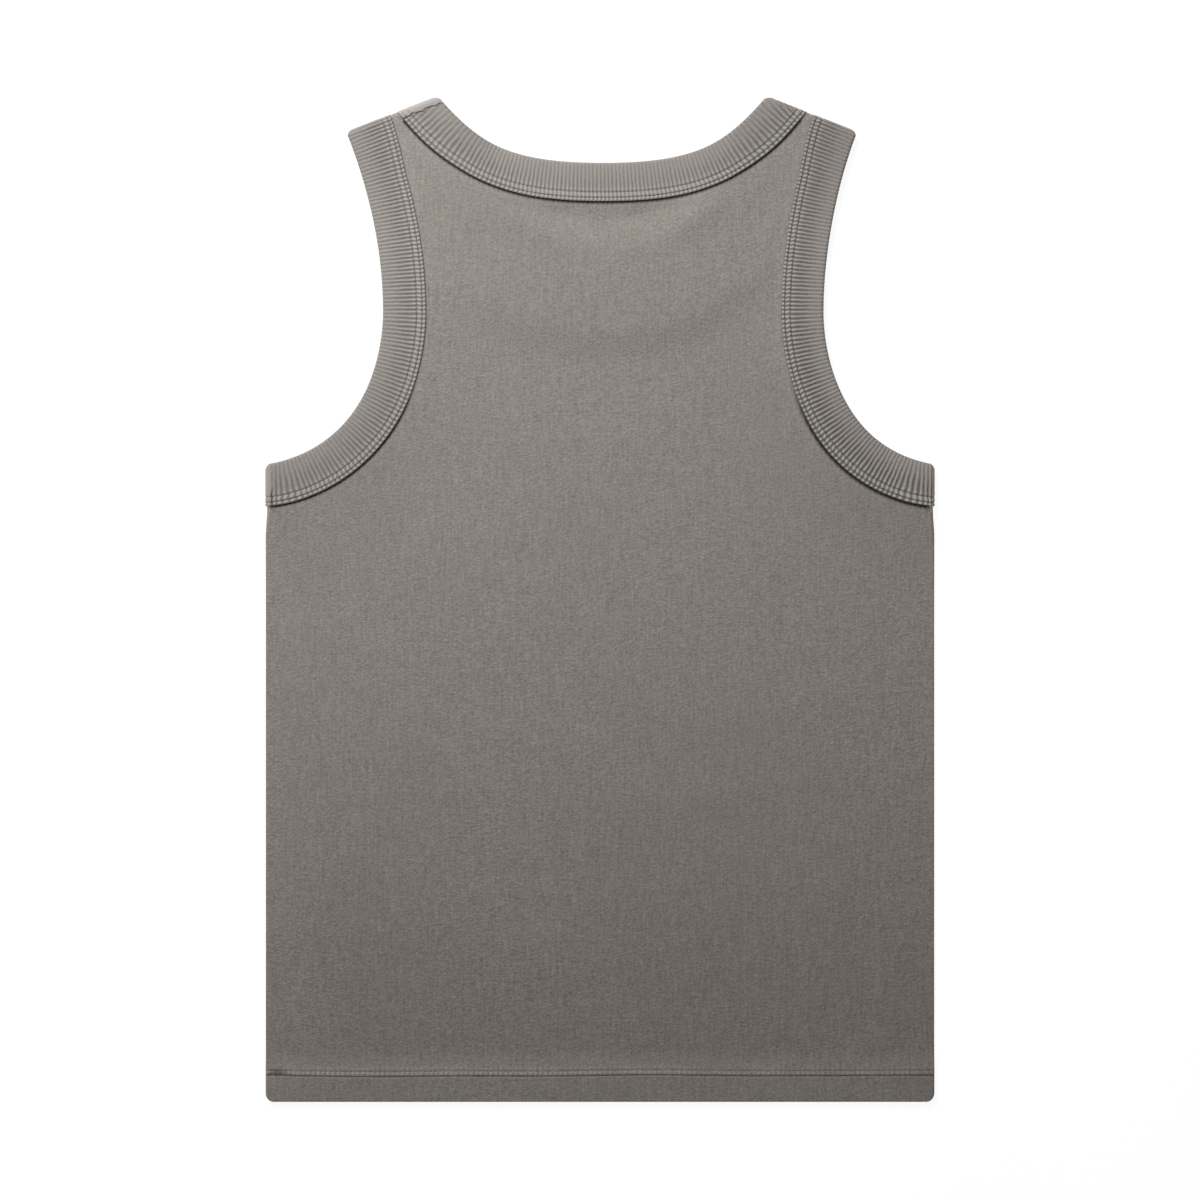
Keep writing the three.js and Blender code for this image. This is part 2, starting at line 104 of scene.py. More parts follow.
# The table, and the large light with the point that it shines at
TABLE_HALF = 4.0
TABLE_DROP = 0.05 * MM
KEY_SIZE = 0.8
KEY_PLACE = Vector((-0.55, 1.0, 0.9))
KEY_TARGET = Vector((0.0, 0.1, 0.0))


def length(name, description, default):
    return FloatProperty(name=name, description=description, default=default, unit="LENGTH")


def colour(name, description, default):
    return FloatVectorProperty(
        name=name, description=description, default=default, size=3, subtype="COLOR", min=0, max=1,
    )


class TankTopShape(bpy.types.PropertyGroup):
    """Sizes of the garment laid flat."""

    half_chest: length("Half Chest", "Half of the width laid flat", (CAD_HIGH.x - CAD_LOW.x) / 2)
    hem_y: length("Hem", "Place of the hem's fold", CAD_LOW.y)
    hem_depth: length("Hem Depth", "Height of the turned hem", 20 * MM)
    hem_corner: length("Hem Corner", "Radius of the hem's corners in plan", 6.5 * MM)
    shoulder_slope: FloatProperty(
        name="Shoulder Slope", description="Fall of the shoulders",
        default=math.radians(21.5), subtype="ANGLE",
    )
    neckband_width: length("Neckband", "Width of the neckband", 29 * MM)
    armband_width: length("Armband", "Width of the armbands", 32 * MM)
    rib_pitch: length("Rib Pitch", "Distance from rib to rib", 2.8 * MM)
    rib_depth: length("Rib Depth", "Height of a rib over its groove", 0.72 * MM)
    stations_per_rib: IntProperty(
        name="Points a Rib", description="Points along the band for each rib on the back",
        default=8, min=4,
    )


class TankTopFinish(bpy.types.PropertyGroup):
    """Colours of the washed cotton and the table, two of them also used to paint shade and highlight."""

    jersey: colour("Jersey", "Main colour of the jersey", (0.277, 0.250, 0.228))
    jersey_pink: colour("Jersey Blush", "Warm patches of the worn dye", (0.290, 0.250, 0.234))
    rib: colour("Rib", "Main colour of the rib bands", (0.320, 0.292, 0.270))
    # The wear colour paints highlight on the raised stitch bumps and puffs, and shows real wear on crests and
    # plain strips
    wear_and_highlight: colour("Worn", "Rubbed crests and stitch bumps", (0.480, 0.455, 0.430))
    # The dark colour paints shadow under the band edges and shade in the grooves, and is also the dark dye at
    # joins and in the thread
    shade_and_dye: colour("Recess", "Dye left in the seams and grooves", (0.032, 0.027, 0.024))
    floor: colour("Floor", "Colour of the table", (0.92, 0.92, 0.92))


class TankTopStage(bpy.types.PropertyGroup):
    """Camera and light."""

    lens: FloatProperty(
        name="Lens", description="Focal length of the camera in millimetres", default=85.0, unit="CAMERA",
    )
    seen: length("Width Seen", "Width that the picture shows at the table", 895.6 * MM)
    key: FloatProperty(
        name="Key Light", description="Power of the large light beyond the shoulders",
        default=21.0, unit="POWER",
    )
    fill: FloatProperty(
        name="Fill", description="Strength of the even light from all round", default=0.20, subtype="FACTOR",
    )


# Numbers

MIRROR = np.array([-1.0, 1.0, 1.0])


def smooth(value, low, high):
    """Eased step from 0 at low to 1 at high."""
    share = np.clip((value - low) / (high - low), 0.0, 1.0)
    return share * share * (3.0 - 2.0 * share)


def fall(distance, reach):
    """1 up to distance 0, easing to 0 at reach."""
    return 1.0 - smooth(distance, 0.0, reach)


def mix(first, second, share):
    return first + (second - first) * share


def unit(vectors):
    return vectors / np.linalg.norm(vectors, axis=-1, keepdims=True)


def bell(distance, width):
    return np.exp(-((distance / width) ** 2))


def sampled(places, known, values):
    """Rows of values known at some places along a line, read off at others."""
    return np.stack([np.interp(places, known, column) for column in values.T], axis=1)


# Plan of the garment


def bezier(start, start_handle, end_handle, end, count=500):
    t = np.linspace(0.0, 1.0, count)[:, None]
    points = [np.asarray(p, dtype=float) for p in (start, start_handle, end_handle, end)]
    weights = ((1 - t) ** 3, 3 * (1 - t) ** 2 * t, 3 * (1 - t) * t**2, t**3)
    return sum(weight * point for weight, point in zip(weights, points))


class Edge:
    """A free edge of the right half, run so that the body of the garment is on its right-hand side."""

    def __init__(self, points, width, folds):
        keep = np.concatenate([[True], np.linalg.norm(np.diff(points, axis=0), axis=1) > 1e-9])
        self.points = points[keep]
        steps = np.linalg.norm(np.diff(self.points, axis=0), axis=1)
        self.length = steps.sum()
        self.shares = np.concatenate([[0.0], np.cumsum(steps)]) / self.length
        self.tangents = unit(np.gradient(self.points, self.shares, axis=0))
        self.width = width
        self.folds = folds

    def lines(self, shares):
        """Free points, directions into the body and widths of the lines across the band at these shares."""
        shares = np.asarray(shares, dtype=float)
        free = sampled(shares, self.shares, self.points)
        tangent = unit(sampled(shares, self.shares, self.tangents))
        square = np.stack([tangent[:, 1], -tangent[:, 0]], axis=1)
        into = square.copy()
        width = np.full(len(shares), self.width)
        for fold in self.folds:
            closest = np.abs(shares - fold["share"]) <= 0.5
            near = fall(np.abs(shares - fold["share"]) * self.length, fold["fan"])
            near = np.where(closest | (len(self.folds) == 1), near, 0.0)[:, None]
            into = np.where(near > 0, unit(mix(square, np.asarray(fold["into"]), near)), into)
            slant = np.sum(into * square, axis=1)
            width = np.where(near[:, 0] > 0, mix(self.width / slant, fold["width"], near[:, 0]), width)
        return free, into, width

    def seam_points(self, shares):
        free, into, width = self.lines(shares)
        return free + into * width[:, None]


def distance_from(line, x, y):
    """Signed distance from a line of points, positive on the body's side."""
    shape = np.broadcast(x, y).shape
    px = np.broadcast_to(x, shape).ravel()
    py = np.broadcast_to(y, shape).ravel()
    best = np.full(px.shape, np.inf)
    side = np.ones(px.shape)
    for start, end in zip(line[:-1], line[1:]):
        run = end - start
        off_x = px - start[0]
        off_y = py - start[1]
        along = np.clip((off_x * run[0] + off_y * run[1]) / (run @ run), 0.0, 1.0)
        gap = np.hypot(off_x - along * run[0], off_y - along * run[1])
        nearer = gap < best
        best = np.where(nearer, gap, best)
        side = np.where(nearer, np.where(run[0] * off_y - run[1] * off_x > 0, -1.0, 1.0), side)
    return (best * side).reshape(shape)


class Garment:
    """Edges, folds and levels of the garment laid flat, worked out from its sizes."""

    fan_length = 45 * MM
    corner_round = 2.5 * MM
    lean = {
        "most": 3.2 * MM, "from": 60 * MM, "to": 160 * MM,
        "easing": 0.42, "ease_from": 250 * MM, "ease_to": 370 * MM,
    }

    def __init__(self, sizes):
        self.sizes = sizes
        slope = sizes.shoulder_slope
        self.along = np.array([math.cos(slope), -math.sin(slope)])
        self.beyond = np.array([math.sin(slope), math.cos(slope)])
        self.tip = np.array([120.5, 373.6]) * MM
        self.shoulder_length = 74.3 * MM
        self.neck_at_shoulder = sizes.neckband_width + 3.5 * MM
        self.arm_at_shoulder = sizes.armband_width + 3 * MM
        self.arm_tip = self.tip + self.along * self.shoulder_length
        under_y = 101.9 * MM
        self.under_tip = np.array([sizes.half_chest - FOLD_RADIUS - BAND_HALF, under_y])
        self.under_seam_y = under_y - sizes.armband_width
        steep = math.radians(48.5)
        heading = np.array([math.cos(steep), math.sin(steep)])
        self.neck_drift = (heading @ self.along) / (heading @ self.beyond)
        self.back_neck = self.neck_edge(326.9 * MM, 71 * MM, self.tip, heading, 42 * MM)
        front_tip = self.tip + self.along * self.neck_drift * FOLD_RADIUS * math.pi
        heading = unit(self.beyond - self.along * self.neck_drift)
        self.front_neck = self.neck_edge(246 * MM, 78 * MM, front_tip, heading, 66 * MM)
        self.armhole = self.armhole_edge()
        shares = np.linspace(0.0, 1.0, 61)
        self.back_neck_seam = self.back_neck.seam_points(shares)
        self.front_neck_seam = self.front_neck.seam_points(shares)
        self.front_neck_free = self.front_neck.lines(shares)[0]
        self.armhole_seam = self.armhole.seam_points(shares)

    def neck_edge(self, middle, flat_reach, tip, heading, end_reach):
        """Free edge of the neck, from the middle of the garment up to the shoulder."""
        points = bezier((0, middle), (flat_reach, middle), tip - heading * end_reach, tip)
        fold = {"share": 1.0, "into": self.along, "width": self.neck_at_shoulder, "fan": self.fan_length}
        return Edge(points, self.sizes.neckband_width, [fold])

    def armhole_edge(self):
        """Free edge of the armhole, from the shoulder down to the side."""
        slim = np.array([164.5, 214.6]) * MM
        slope = math.radians(11.2)
        under_heading = np.array([math.cos(slope), -math.sin(slope)])
        upper = bezier(self.arm_tip, self.arm_tip - self.beyond * 19.1 * MM, slim + (0, 61.6 * MM), slim)
        low_handle = self.under_tip - under_heading * 73.5 * MM
        lower = bezier(slim, slim - (0, 25.8 * MM), low_handle, self.under_tip)
        folds = [
            {"share": 0.0, "into": -self.along, "width": self.arm_at_shoulder, "fan": self.fan_length},
            {"share": 1.0, "into": np.array([0.0, -1.0]), "width": self.sizes.armband_width, "fan": 18 * MM},
        ]
        return Edge(np.concatenate([upper, lower]), self.sizes.armband_width, folds)

    def side_edge(self, y):
        """Outer edge of the side seam, drawn in under the armband and round at the hem's corners."""
        sizes = self.sizes
        under_arm = (BAND_HALF - JERSEY / 2) * fall(self.under_seam_y - y, ARM_RAMP)
        from_hem = np.clip(y - sizes.hem_y, 0.0, sizes.hem_corner)
        corner = sizes.hem_corner - np.sqrt(sizes.hem_corner**2 - (sizes.hem_corner - from_hem) ** 2)
        return sizes.half_chest - under_arm - corner

    def back_level(self, x, y):
        """Middle of the upper layer: it climbs over the front's bands and sinks inside its neck hole."""
        across = np.abs(x)
        into_front = distance_from(self.front_neck_free, across, y)
        below_band = distance_from(self.back_neck_seam, across, y)
        into_body = distance_from(self.armhole_seam, across, y)
        width = self.sizes.neckband_width
        level = mix(SUNK_LEVEL, BACK_LEVEL, smooth(into_front, 0.0, width))
        level = mix(level, np.maximum(level, SUNK_BAND_LEVEL), fall(below_band, BAND_RAMP))
        off_band = np.maximum(-into_front, into_front - width) - NECK_MARGIN
        ridge = mix(RIDGE_LEVEL, BAND_HIGH, fall(below_band - BAND_RAMP, NECK_RAMP))
        level = mix(level, np.maximum(level, ridge), fall(off_band, NECK_RAMP))
        drape = np.clip(1 - into_body / ARM_DRAPE, 0.0, 1.0) ** 2
        level = mix(level, BAND_HIGH, drape)
        above_hem = y - self.sizes.hem_y - self.sizes.hem_depth - 1 * MM
        return level + 2 * JERSEY * fall(above_hem, HEM_RAMP)

    def below_shoulder(self, across, y):
        """Distance down from the line of the shoulder's edge."""
        return -((across - self.tip[0]) * self.beyond[0] + (y - self.tip[1]) * self.beyond[1])

    def front_level(self, x, y):
        """Middle of the lower layer, which lies on the table and rises only into the bands."""
        across = np.abs(x)
        neck = fall(distance_from(self.front_neck_seam, across, y), LOW_RAMP)
        arm = fall(distance_from(self.armhole_seam, across, y), LOW_RAMP)
        shoulder = fall(self.below_shoulder(across, y), LOW_RAMP)
        return mix(FRONT_LEVEL, BAND_LOW, 1 - (1 - neck) * (1 - arm) * (1 - shoulder))

    def leaned(self, points):
        """The upper part lies a little to the right of the hem's middle, and less so at the shoulders."""
        lean = self.lean
        rising = smooth(points[..., 1], lean["from"], lean["to"])
        easing = 1 - lean["easing"] * smooth(points[..., 1], lean["ease_from"], lean["ease_to"])
        inside = np.sqrt(np.clip(1 - (points[..., 0] / self.sizes.half_chest) ** 2, 0.0, 1.0))
        moved = points.copy()
        moved[..., 0] += lean["most"] * rising * easing * inside
        return moved


# Mesh helpers


def grid_mesh(points, attributes, keep=None, closed=(False, False)):
    """A bmesh grid moved onto an array of points, with named point attributes and faces left out."""
    rows, columns = points.shape[:2]
    mesh = bmesh.new()
    layers = {name: mesh.verts.layers.float.new(name) for name in attributes}
    size = 0.5
    bmesh.ops.create_grid(mesh, x_segments=columns - 1, y_segments=rows - 1, size=size)
    where = {}
    for vert in mesh.verts:
        column = round((vert.co.x + size) * (columns - 1))
        row = round((vert.co.y + size) * (rows - 1))
        where[vert] = (row, column)
    if keep is not None:
        dropped = []
        for face in mesh.faces:
            row = min(where[vert][0] for vert in face.verts)
            column = min(where[vert][1] for vert in face.verts)
            if not keep[row, column]:
                dropped.append(face)
        bmesh.ops.delete(mesh, geom=dropped, context="FACES")
    for vert in mesh.verts:
        place = where[vert]
        vert.co = points[place]
        for name, values in attributes.items():
            vert[layers[name]] = values[place]
    if any(closed):
        bmesh.ops.remove_doubles(mesh, verts=mesh.verts, dist=1e-7)
    return mesh


def linked(name, data):
    """A new object of that name in the scene, at the origin."""
    made = bpy.data.objects.new(name, data)
    bpy.context.collection.objects.link(made)
    return made


def finished(mesh, name, material):
    """Turns a bmesh into a smooth-shaded object of that name and finish, at the origin."""
    data = bpy.data.meshes.new(name)
    mesh.to_mesh(data)
    mesh.free()
    data.materials.append(material)
    data.shade_smooth()
    return linked(name, data)


# Rib bands


def laid(edge, shares, level, up):
    """Lines across a band where it lies flat: foot at the free edge, run to the seam and the way out."""
    free, into, width = edge.lines(shares)
    seam = free + into * width[:, None]
    foot = np.column_stack([free, level(free[:, 0], free[:, 1])])
    run = np.column_stack([seam, level(seam[:, 0], seam[:, 1])]) - foot
    count = len(shares)
    return {
        "foot": foot,
        "run": unit(run),
        "out": np.tile([0.0, 0.0, 1.0 if up else -1.0], (count, 1)),
        "width": np.linalg.norm(run, axis=1),
        "inset": np.zeros(count),
        "away": np.minimum.reduce([np.abs(shares - fold["share"]) * edge.length for fold in edge.folds]),
    }


def turned(start, along, beyond, into, width, drift, turns):
    """The same where the band turns over a fold, from the back at turn 0 to the front at half a circle."""
    flat = np.append(beyond, 0.0)
    out = np.sin(turns)[:, None] * flat + np.cos(turns)[:, None] * np.array([0.0, 0.0, 1.0])
    slide = (drift * FOLD_RADIUS * turns)[:, None] * np.append(along, 0.0)
    foot = np.append(start, FOLD_LEVEL) + out * FOLD_RADIUS + slide
    count = len(turns)
    return {
        "foot": foot,
        "run": np.tile(np.append(into, 0.0), (count, 1)),
        "out": out,
        "width": np.full(count, width),
        "inset": Garment.corner_round * np.sin(turns) ** 2,
        "away": np.zeros(count),
    }


def mirrored(stations):
    return {key: value * MIRROR if value.ndim == 2 else value for key, value in stations.items()}


def backwards(stations):
    return {key: value[::-1] for key, value in stations.items()}


def ribbed(stations, first_rib, ribs, join_at=0.0, join_fades=1.0, square=False):
    """Counts the ribs along a stretch, and says how far from the fold the band's join lies, if it has one.

    Square ribs stay at right angles to the seam, also where the lines across the band fan out to a fold.
    """
    count = len(stations["width"])
    stations["rib"] = first_rib + np.linspace(0.0, ribs, count)
    stations["skew"] = np.zeros(count)
    if square:
        seam = stations["foot"] + stations["run"] * stations["width"][:, None]
        travel = np.gradient(seam, axis=0)
        spacing = np.linalg.norm(travel, axis=1)
        aslant = np.sum(stations["run"] * travel, axis=1) / spacing
        stations["skew"] = -aslant * np.gradient(stations["rib"]) / spacing
    stations["join_at"] = np.full(count, join_at)
    stations["join_fades"] = np.full(count, join_fades)
    return stations


def loop_of(stretches):
    """Joins stretches end to end, leaving out each one's last line, which the next begins with."""
    return {key: np.concatenate([stretch[key][:-1] for stretch in stretches]) for key in stretches[0]}


def band_place(stations, across, level):
    """Points at a distance from the foot of each line across a band, and at a level on its way out."""
    return stations["foot"] + stations["run"] * across[:, None] + stations["out"] * level


def shares_of(ribs, per_rib, start, end):
    return np.linspace(start, end, ribs * per_rib + 1)


FOLD_RIBS = 4
NECK_JOIN_AT = 3.0 * MM
ARM_JOIN_AT = 1.3 * MM
ARM_JOIN_FADES = 0.25
JOIN_WIDTH = 0.5 * MM


def join_marks(stations, seam_at):
    """The plain strip beyond a band's ragged join seam, and the seam itself, beside a fold."""
    ragged = np.sin(seam_at / (1.9 * MM)) + 0.7 * np.sin(seam_at / (0.83 * MM) + 1.0)
    place = stations["join_at"] * (1 + 0.16 * ragged)
    beyond = stations["join_at"] > 0
    plain = np.where(beyond, fall(stations["away"] - place, 0.9 * MM), 0.0)
    join = np.where(beyond, bell(stations["away"] - place, JOIN_WIDTH), 0.0)
    return plain, join * mix(1.0, stations["join_fades"], smooth(seam_at, 5 * MM, 16 * MM))


def rib_count(edge, pitch):
    return int(round(edge.length / pitch))


def high_level(x, y):
    return np.full_like(x, BAND_HIGH)


def low_level(x, y):
    return np.full_like(x, BAND_LOW)


def fold_turns(points_per_rib):
    return np.linspace(0.0, math.pi, FOLD_RIBS * points_per_rib + 1)


def armband_loop(garment, joined):
    """Right armband: down the back of the armhole, round the side, up the front and over the shoulder."""
    sizes = garment.sizes
    dense = sizes.stations_per_rib
    edge = garment.armhole
    ribs = rib_count(edge, sizes.rib_pitch)
    turns = fold_turns(dense)
    join_at = ARM_JOIN_AT if joined else 0.0
    side_out = np.array([1.0, 0.0])
    side_down = np.array([0.0, -1.0])
    back = laid(edge, shares_of(ribs, dense, 0.0, 1.0), high_level, True)
    side = turned(garment.under_tip, side_down, side_out, side_down, sizes.armband_width, 0.0, turns)
    front = laid(edge, shares_of(ribs, dense // 2, 1.0, 0.0), low_level, False)
    shoulder = turned(
        garment.arm_tip, garment.along, garment.beyond, -garment.along,
        garment.arm_at_shoulder, 0.0, turns[::-1],
    )
    back = ribbed(back, 0, ribs, join_at, ARM_JOIN_FADES)
    back["join_at"][: ribs * dense // 2 + 1] = 0.0
    return loop_of([
        back,
        ribbed(side, ribs, FOLD_RIBS, join_at, ARM_JOIN_FADES),
        ribbed(front, ribs + FOLD_RIBS, ribs),
        ribbed(shoulder, 2 * ribs + FOLD_RIBS, FOLD_RIBS),
    ])


def neckband_loop(garment):
    """The neckband: round the back to the right shoulder, under the front, and up over the left shoulder."""
    sizes = garment.sizes
    dense = sizes.stations_per_rib
    back_ribs = rib_count(garment.back_neck, sizes.rib_pitch)
    front_ribs = rib_count(garment.front_neck, sizes.rib_pitch)
    right = [
        laid(garment.back_neck, shares_of(back_ribs, dense, 0.0, 1.0), garment.back_level, True),
        turned(
            garment.tip, garment.along, garment.beyond, garment.along,
            garment.neck_at_shoulder, garment.neck_drift, fold_turns(dense),
        ),
        laid(garment.front_neck, shares_of(front_ribs, dense // 2, 1.0, 0.0), low_level, False),
    ]
    left = [backwards(mirrored(stretch)) for stretch in reversed(right)]
    counts = [back_ribs, FOLD_RIBS, front_ribs, front_ribs, FOLD_RIBS, back_ribs]
    firsts = np.concatenate([[0], np.cumsum(counts)])
    joins = [0.0, 0.0, 0.0, 0.0, NECK_JOIN_AT, NECK_JOIN_AT]
    return loop_of([
        ribbed(stretch, first, ribs, join_at, square=True)
        for stretch, first, ribs, join_at in zip(right + left, firsts, counts, joins)
    ])


# Places across the outer face of a band, measured from its seam edge up to the plain ribs
STITCHED_PLACES = (0.25, 0.6, 1.0, 1.5, 2.0, 2.4, 2.7, 3.0, 3.4, 4.0, 4.7, 5.4, 6.0, 6.5, 6.9, 7.3, 7.9, 8.8)
RIB_PLACES = 12
NOSE = 2.2 * MM
NOSE_STEPS = 6

# The slot that holds the jersey, and the thin hollow of the fold beyond it
FORK = 11 * MM
FORK_EASE = 3 * MM
SLOT_DEPTH = 8.6 * MM
HOLLOW_LOW = 0.22 * MM
HOLLOW_HIGH = 0.34 * MM

# What is taken off a band's outer face, and the beads that stand up beside its stitches
STITCH_DROP = 0.60 * MM
STITCH_DROP_SPARED = 0.25 * MM
BEAD_RISE = 0.10 * MM
LIP_DROP = 0.45 * MM
JOIN_DROP = 0.50 * MM
DEEPEST_DROP = 0.85 * MM
RIBS_AT_FREE_EDGE = 0.48
RIB_SLANT = 0.16
RIB_ROUNDNESS = 0.8
NECKBAND_RELIEF = 0.85


def rib_profile(stations, seam_at):
    """Height of a band's outer face over its grooves, from 0 to 1."""
    seam_at = seam_at + 0 * stations["width"]
    between = smooth(seam_at, 2.7 * MM, 3.4 * MM) * fall(seam_at - 6.2 * MM, 0.7 * MM)
    lean = RIB_SLANT * between * (seam_at - 4.8 * MM) / (2 * MM)
    rib = stations["rib"] + stations["skew"] * seam_at
    slow = 0.04 * np.sin(seam_at / (5.3 * MM) + 2.1 * rib)
    quick = 0.03 * np.sin(seam_at / (2.1 * MM) + 0.77 * rib)
    wander = (slow + quick) * smooth(seam_at, 7 * MM, 10 * MM)
    wave = 0.5 + 0.5 * np.cos(2 * math.pi * (rib + lean + wander))
    return wave**RIB_ROUNDNESS


def outer_face(stations, seam_at, depth):
    """Level of the outer face at a distance from the seam, then its height, shine, plain strip and join."""
    wave = rib_profile(stations, seam_at)
    plain, join = join_marks(stations, seam_at)
    calm = mix(1.0, RIBS_AT_FREE_EDGE, smooth(seam_at, 11 * MM, stations["width"] - 3 * MM))
    calm = calm * mix(0.85, 1.0, smooth(seam_at, 6 * MM, 7.5 * MM))
    ribbed_share = (1 - plain) * calm
    stitch = sum(bell(seam_at - row, 0.42 * MM) for row in BAND_STITCH_ROWS)
    bulge = bell(seam_at - 4.7 * MM, 1.2 * MM) + bell(seam_at - 1.3 * MM, 0.8 * MM)
    beyond = bell(seam_at - 8.6 * MM, 1.4 * MM)
    lip = bell(seam_at, 0.5 * MM)
    drop = depth * (1 - wave) * ribbed_share
    drop = drop + (STITCH_DROP - STITCH_DROP_SPARED * (1 - wave)) * np.clip(stitch, 0, 1)
    drop = drop - BEAD_RISE * wave * ribbed_share * (bulge + 0.6 * beyond)
    drop = drop + LIP_DROP * lip * (1 - 0.4 * (1 - wave)) + JOIN_DROP * join
    drop = np.where(seam_at < 9 * MM, np.minimum(drop, DEEPEST_DROP), drop)
    height = np.clip(1 - drop / DEEPEST_DROP, 0, 1)
    shine = wave * (1 - plain) * np.clip(bulge + 0.5 * beyond, 0, 1)
    return BAND_HALF - drop, height, shine, plain * stations["join_fades"], join


def band_points(stations, depth):
    """Rows of points round a band's section: outer face, rounded free edge, inner face and the hollow."""
    rows = []
    width = stations["width"]
    nose = stations["inset"] + NOSE
    zero = np.zeros_like(width)

    def add(across, level, height, bump=0.0, plain=0.0, join=0.0):
        place = band_place(stations, across, (level + zero)[:, None])
        rows.append((place, height + zero, bump + zero, plain + zero, join + zero))

    def from_seam(*places):
        for distance, level in places:
            add(width - distance, level, 0.35)

    add(width, 1.15 * MM, 0.15)
    last = STITCHED_PLACES[-1] * MM
    outer = [place * MM + zero for place in STITCHED_PLACES]
    outer += [mix(last, width - nose, step / RIB_PLACES) for step in range(1, RIB_PLACES + 1)]
    for seam_at in outer:
        level, *marks = outer_face(stations, seam_at, depth)
        add(width - seam_at, level, *marks)
    middle = (BAND_HALF - SLAB_INNER) / 2
    half = (BAND_HALF + SLAB_INNER) / 2
    wave = rib_profile(stations, width - NOSE)
    plain = join_marks(stations, width - NOSE)[0]
    for step in range(1, NOSE_STEPS):
        angle = math.pi * step / NOSE_STEPS
        drop = depth * 0.55 * (1 - wave) * (1 - plain) * (1 - step / NOSE_STEPS)
        across = nose - (NOSE - drop) * math.sin(angle)
        level = middle + (half - drop) * math.cos(angle)
        add(across, level, 0.55 * wave + 0.4, plain=plain * stations["join_fades"])
    add(nose, -SLAB_INNER, 0.35)
    from_seam(
        (FORK + FORK_EASE, -SLAB_INNER), (FORK, -BAND_HALF), (0.5 * MM, -BAND_HALF), (0.1 * MM, -1.35 * MM),
        (0.3 * MM, -SLOT_HALF), (SLOT_DEPTH, -SLOT_HALF), (FORK, HOLLOW_LOW),
    )
    add(nose + 1 * MM, HOLLOW_LOW, 0.2)
    add(nose + 0.7 * MM, (HOLLOW_LOW + HOLLOW_HIGH) / 2, 0.2)
    add(nose + 1 * MM, HOLLOW_HIGH, 0.2)
    from_seam((FORK, HOLLOW_HIGH), (SLOT_DEPTH, SLOT_HALF), (0.3 * MM, SLOT_HALF))
    return [np.stack(values) for values in zip(*rows)]


def band_mesh(garment, stations, depth, flipped):
    """Closed band swept round its loop, with its height, bumps, plain strip and join as attributes."""
    points, *marks = band_points(stations, depth)
    if flipped:
        points = points * MIRROR
    points = garment.leaned(points)
    points[..., 2] = np.maximum(points[..., 2], 0.0)

    def closed(values):
        values = np.concatenate([values, values[:1]], axis=0)
        return np.concatenate([values, values[:, :1]], axis=1)

    attributes = dict(zip(("height", "bump", "plain", "join"), map(closed, marks)))
    mesh = grid_mesh(closed(points), attributes, closed=(True, True))
    bmesh.ops.recalc_face_normals(mesh, faces=mesh.faces)
    return mesh


# Jersey panels

# Soft creases: centre across and up in millimetres, heading in degrees, then half length, half width
# and height in millimetres
BACK_CREASES = (
    (55, -150, 4, 120, 9, 0.35),
    (-70, -205, -3, 90, 11, -0.30),
    (150, -80, 12, 70, 10, 0.28),
    (-165, -20, 160, 80, 12, -0.30),
    (-120, 60, 50, 55, 9, 0.35),
    (128, 85, 128, 60, 9, 0.35),
    (-205, 40, 82, 50, 8, 0.30),
    (214, 20, 97, 60, 8, -0.28),
    (-30, 120, 8, 80, 14, 0.25),
    (20, -300, -2, 150, 10, -0.22),
    (205, -330, 38, 40, 9, 0.40),
    (-215, -338, 142, 30, 8, 0.45),
    (232, -200, 88, 90, 7, 0.25),
    (-236, -160, 92, 110, 7, 0.22),
)
FRONT_CREASES = (
    (-60, -120, 6, 110, 10, 0.25),
    (110, 30, 60, 70, 10, 0.25),
    (40, -260, -4, 120, 12, 0.20),
)
CREASE_BEND = 0.12


def crease_height(creases, x, y):
    """Soft ridges and troughs, each a long bell across its heading."""
    total = np.zeros(np.shape(x))
    for centre_x, centre_y, heading, long, wide, high in creases:
        heading = math.radians(heading)
        off_x = x - centre_x * MM
        off_y = y - centre_y * MM
        along = off_x * math.cos(heading) + off_y * math.sin(heading)
        bend = CREASE_BEND * along**2 / (long * MM)
        across = -off_x * math.sin(heading) + off_y * math.cos(heading) - bend
        total += high * MM * bell(across, wide * MM) * bell(along, long * MM)
    return total


TUCK_STEPS = 3
TURN_STEPS = 4
TIGHTEST_TURN = 0.12 * MM
SHOULDER_SWELL = 0.85 * MM
HEM_GAP = 1.1 * MM
HEM_FOLD_STEPS = 6

# Heights of the hem's rows over its fold in millimetres, close together along the stitches
HEM_PLACES = [1.0, 1.4, 1.9, 2.5, 3.2, 4.0, 5.0, 6.2, 8.5, 11.5, 14.0, 16.0, 17.4]
HEM_PLACES += list(np.arange(18.0, 26.01, 0.4))
HEM_PLACES += [26.8, 28.0, 29.5, 31.5, 34.0, 37.0]

# Height of the corner under the armhole on the centre line, and how far up the armhole the neck's middle is
CORNER_Y = -40 * MM
NECK_MIDDLE_SHARE = 0.4
PART_CROWDED = 0.55


def graded(count, both_ends):
    """Shares from 0 to 1 that crowd towards 1, and towards 0 as well as both_ends goes to 1."""
    share = np.linspace(0.0, 1.0, count + 1)
    towards_side = 1 - (1 - share) ** 1.7
    crowded = 0.5 - 0.5 * np.cos(math.pi * share)
    crowded = mix(crowded, smooth(share, 0.0, 1.0), 0.3)
    return mix(towards_side, crowded, both_ends)


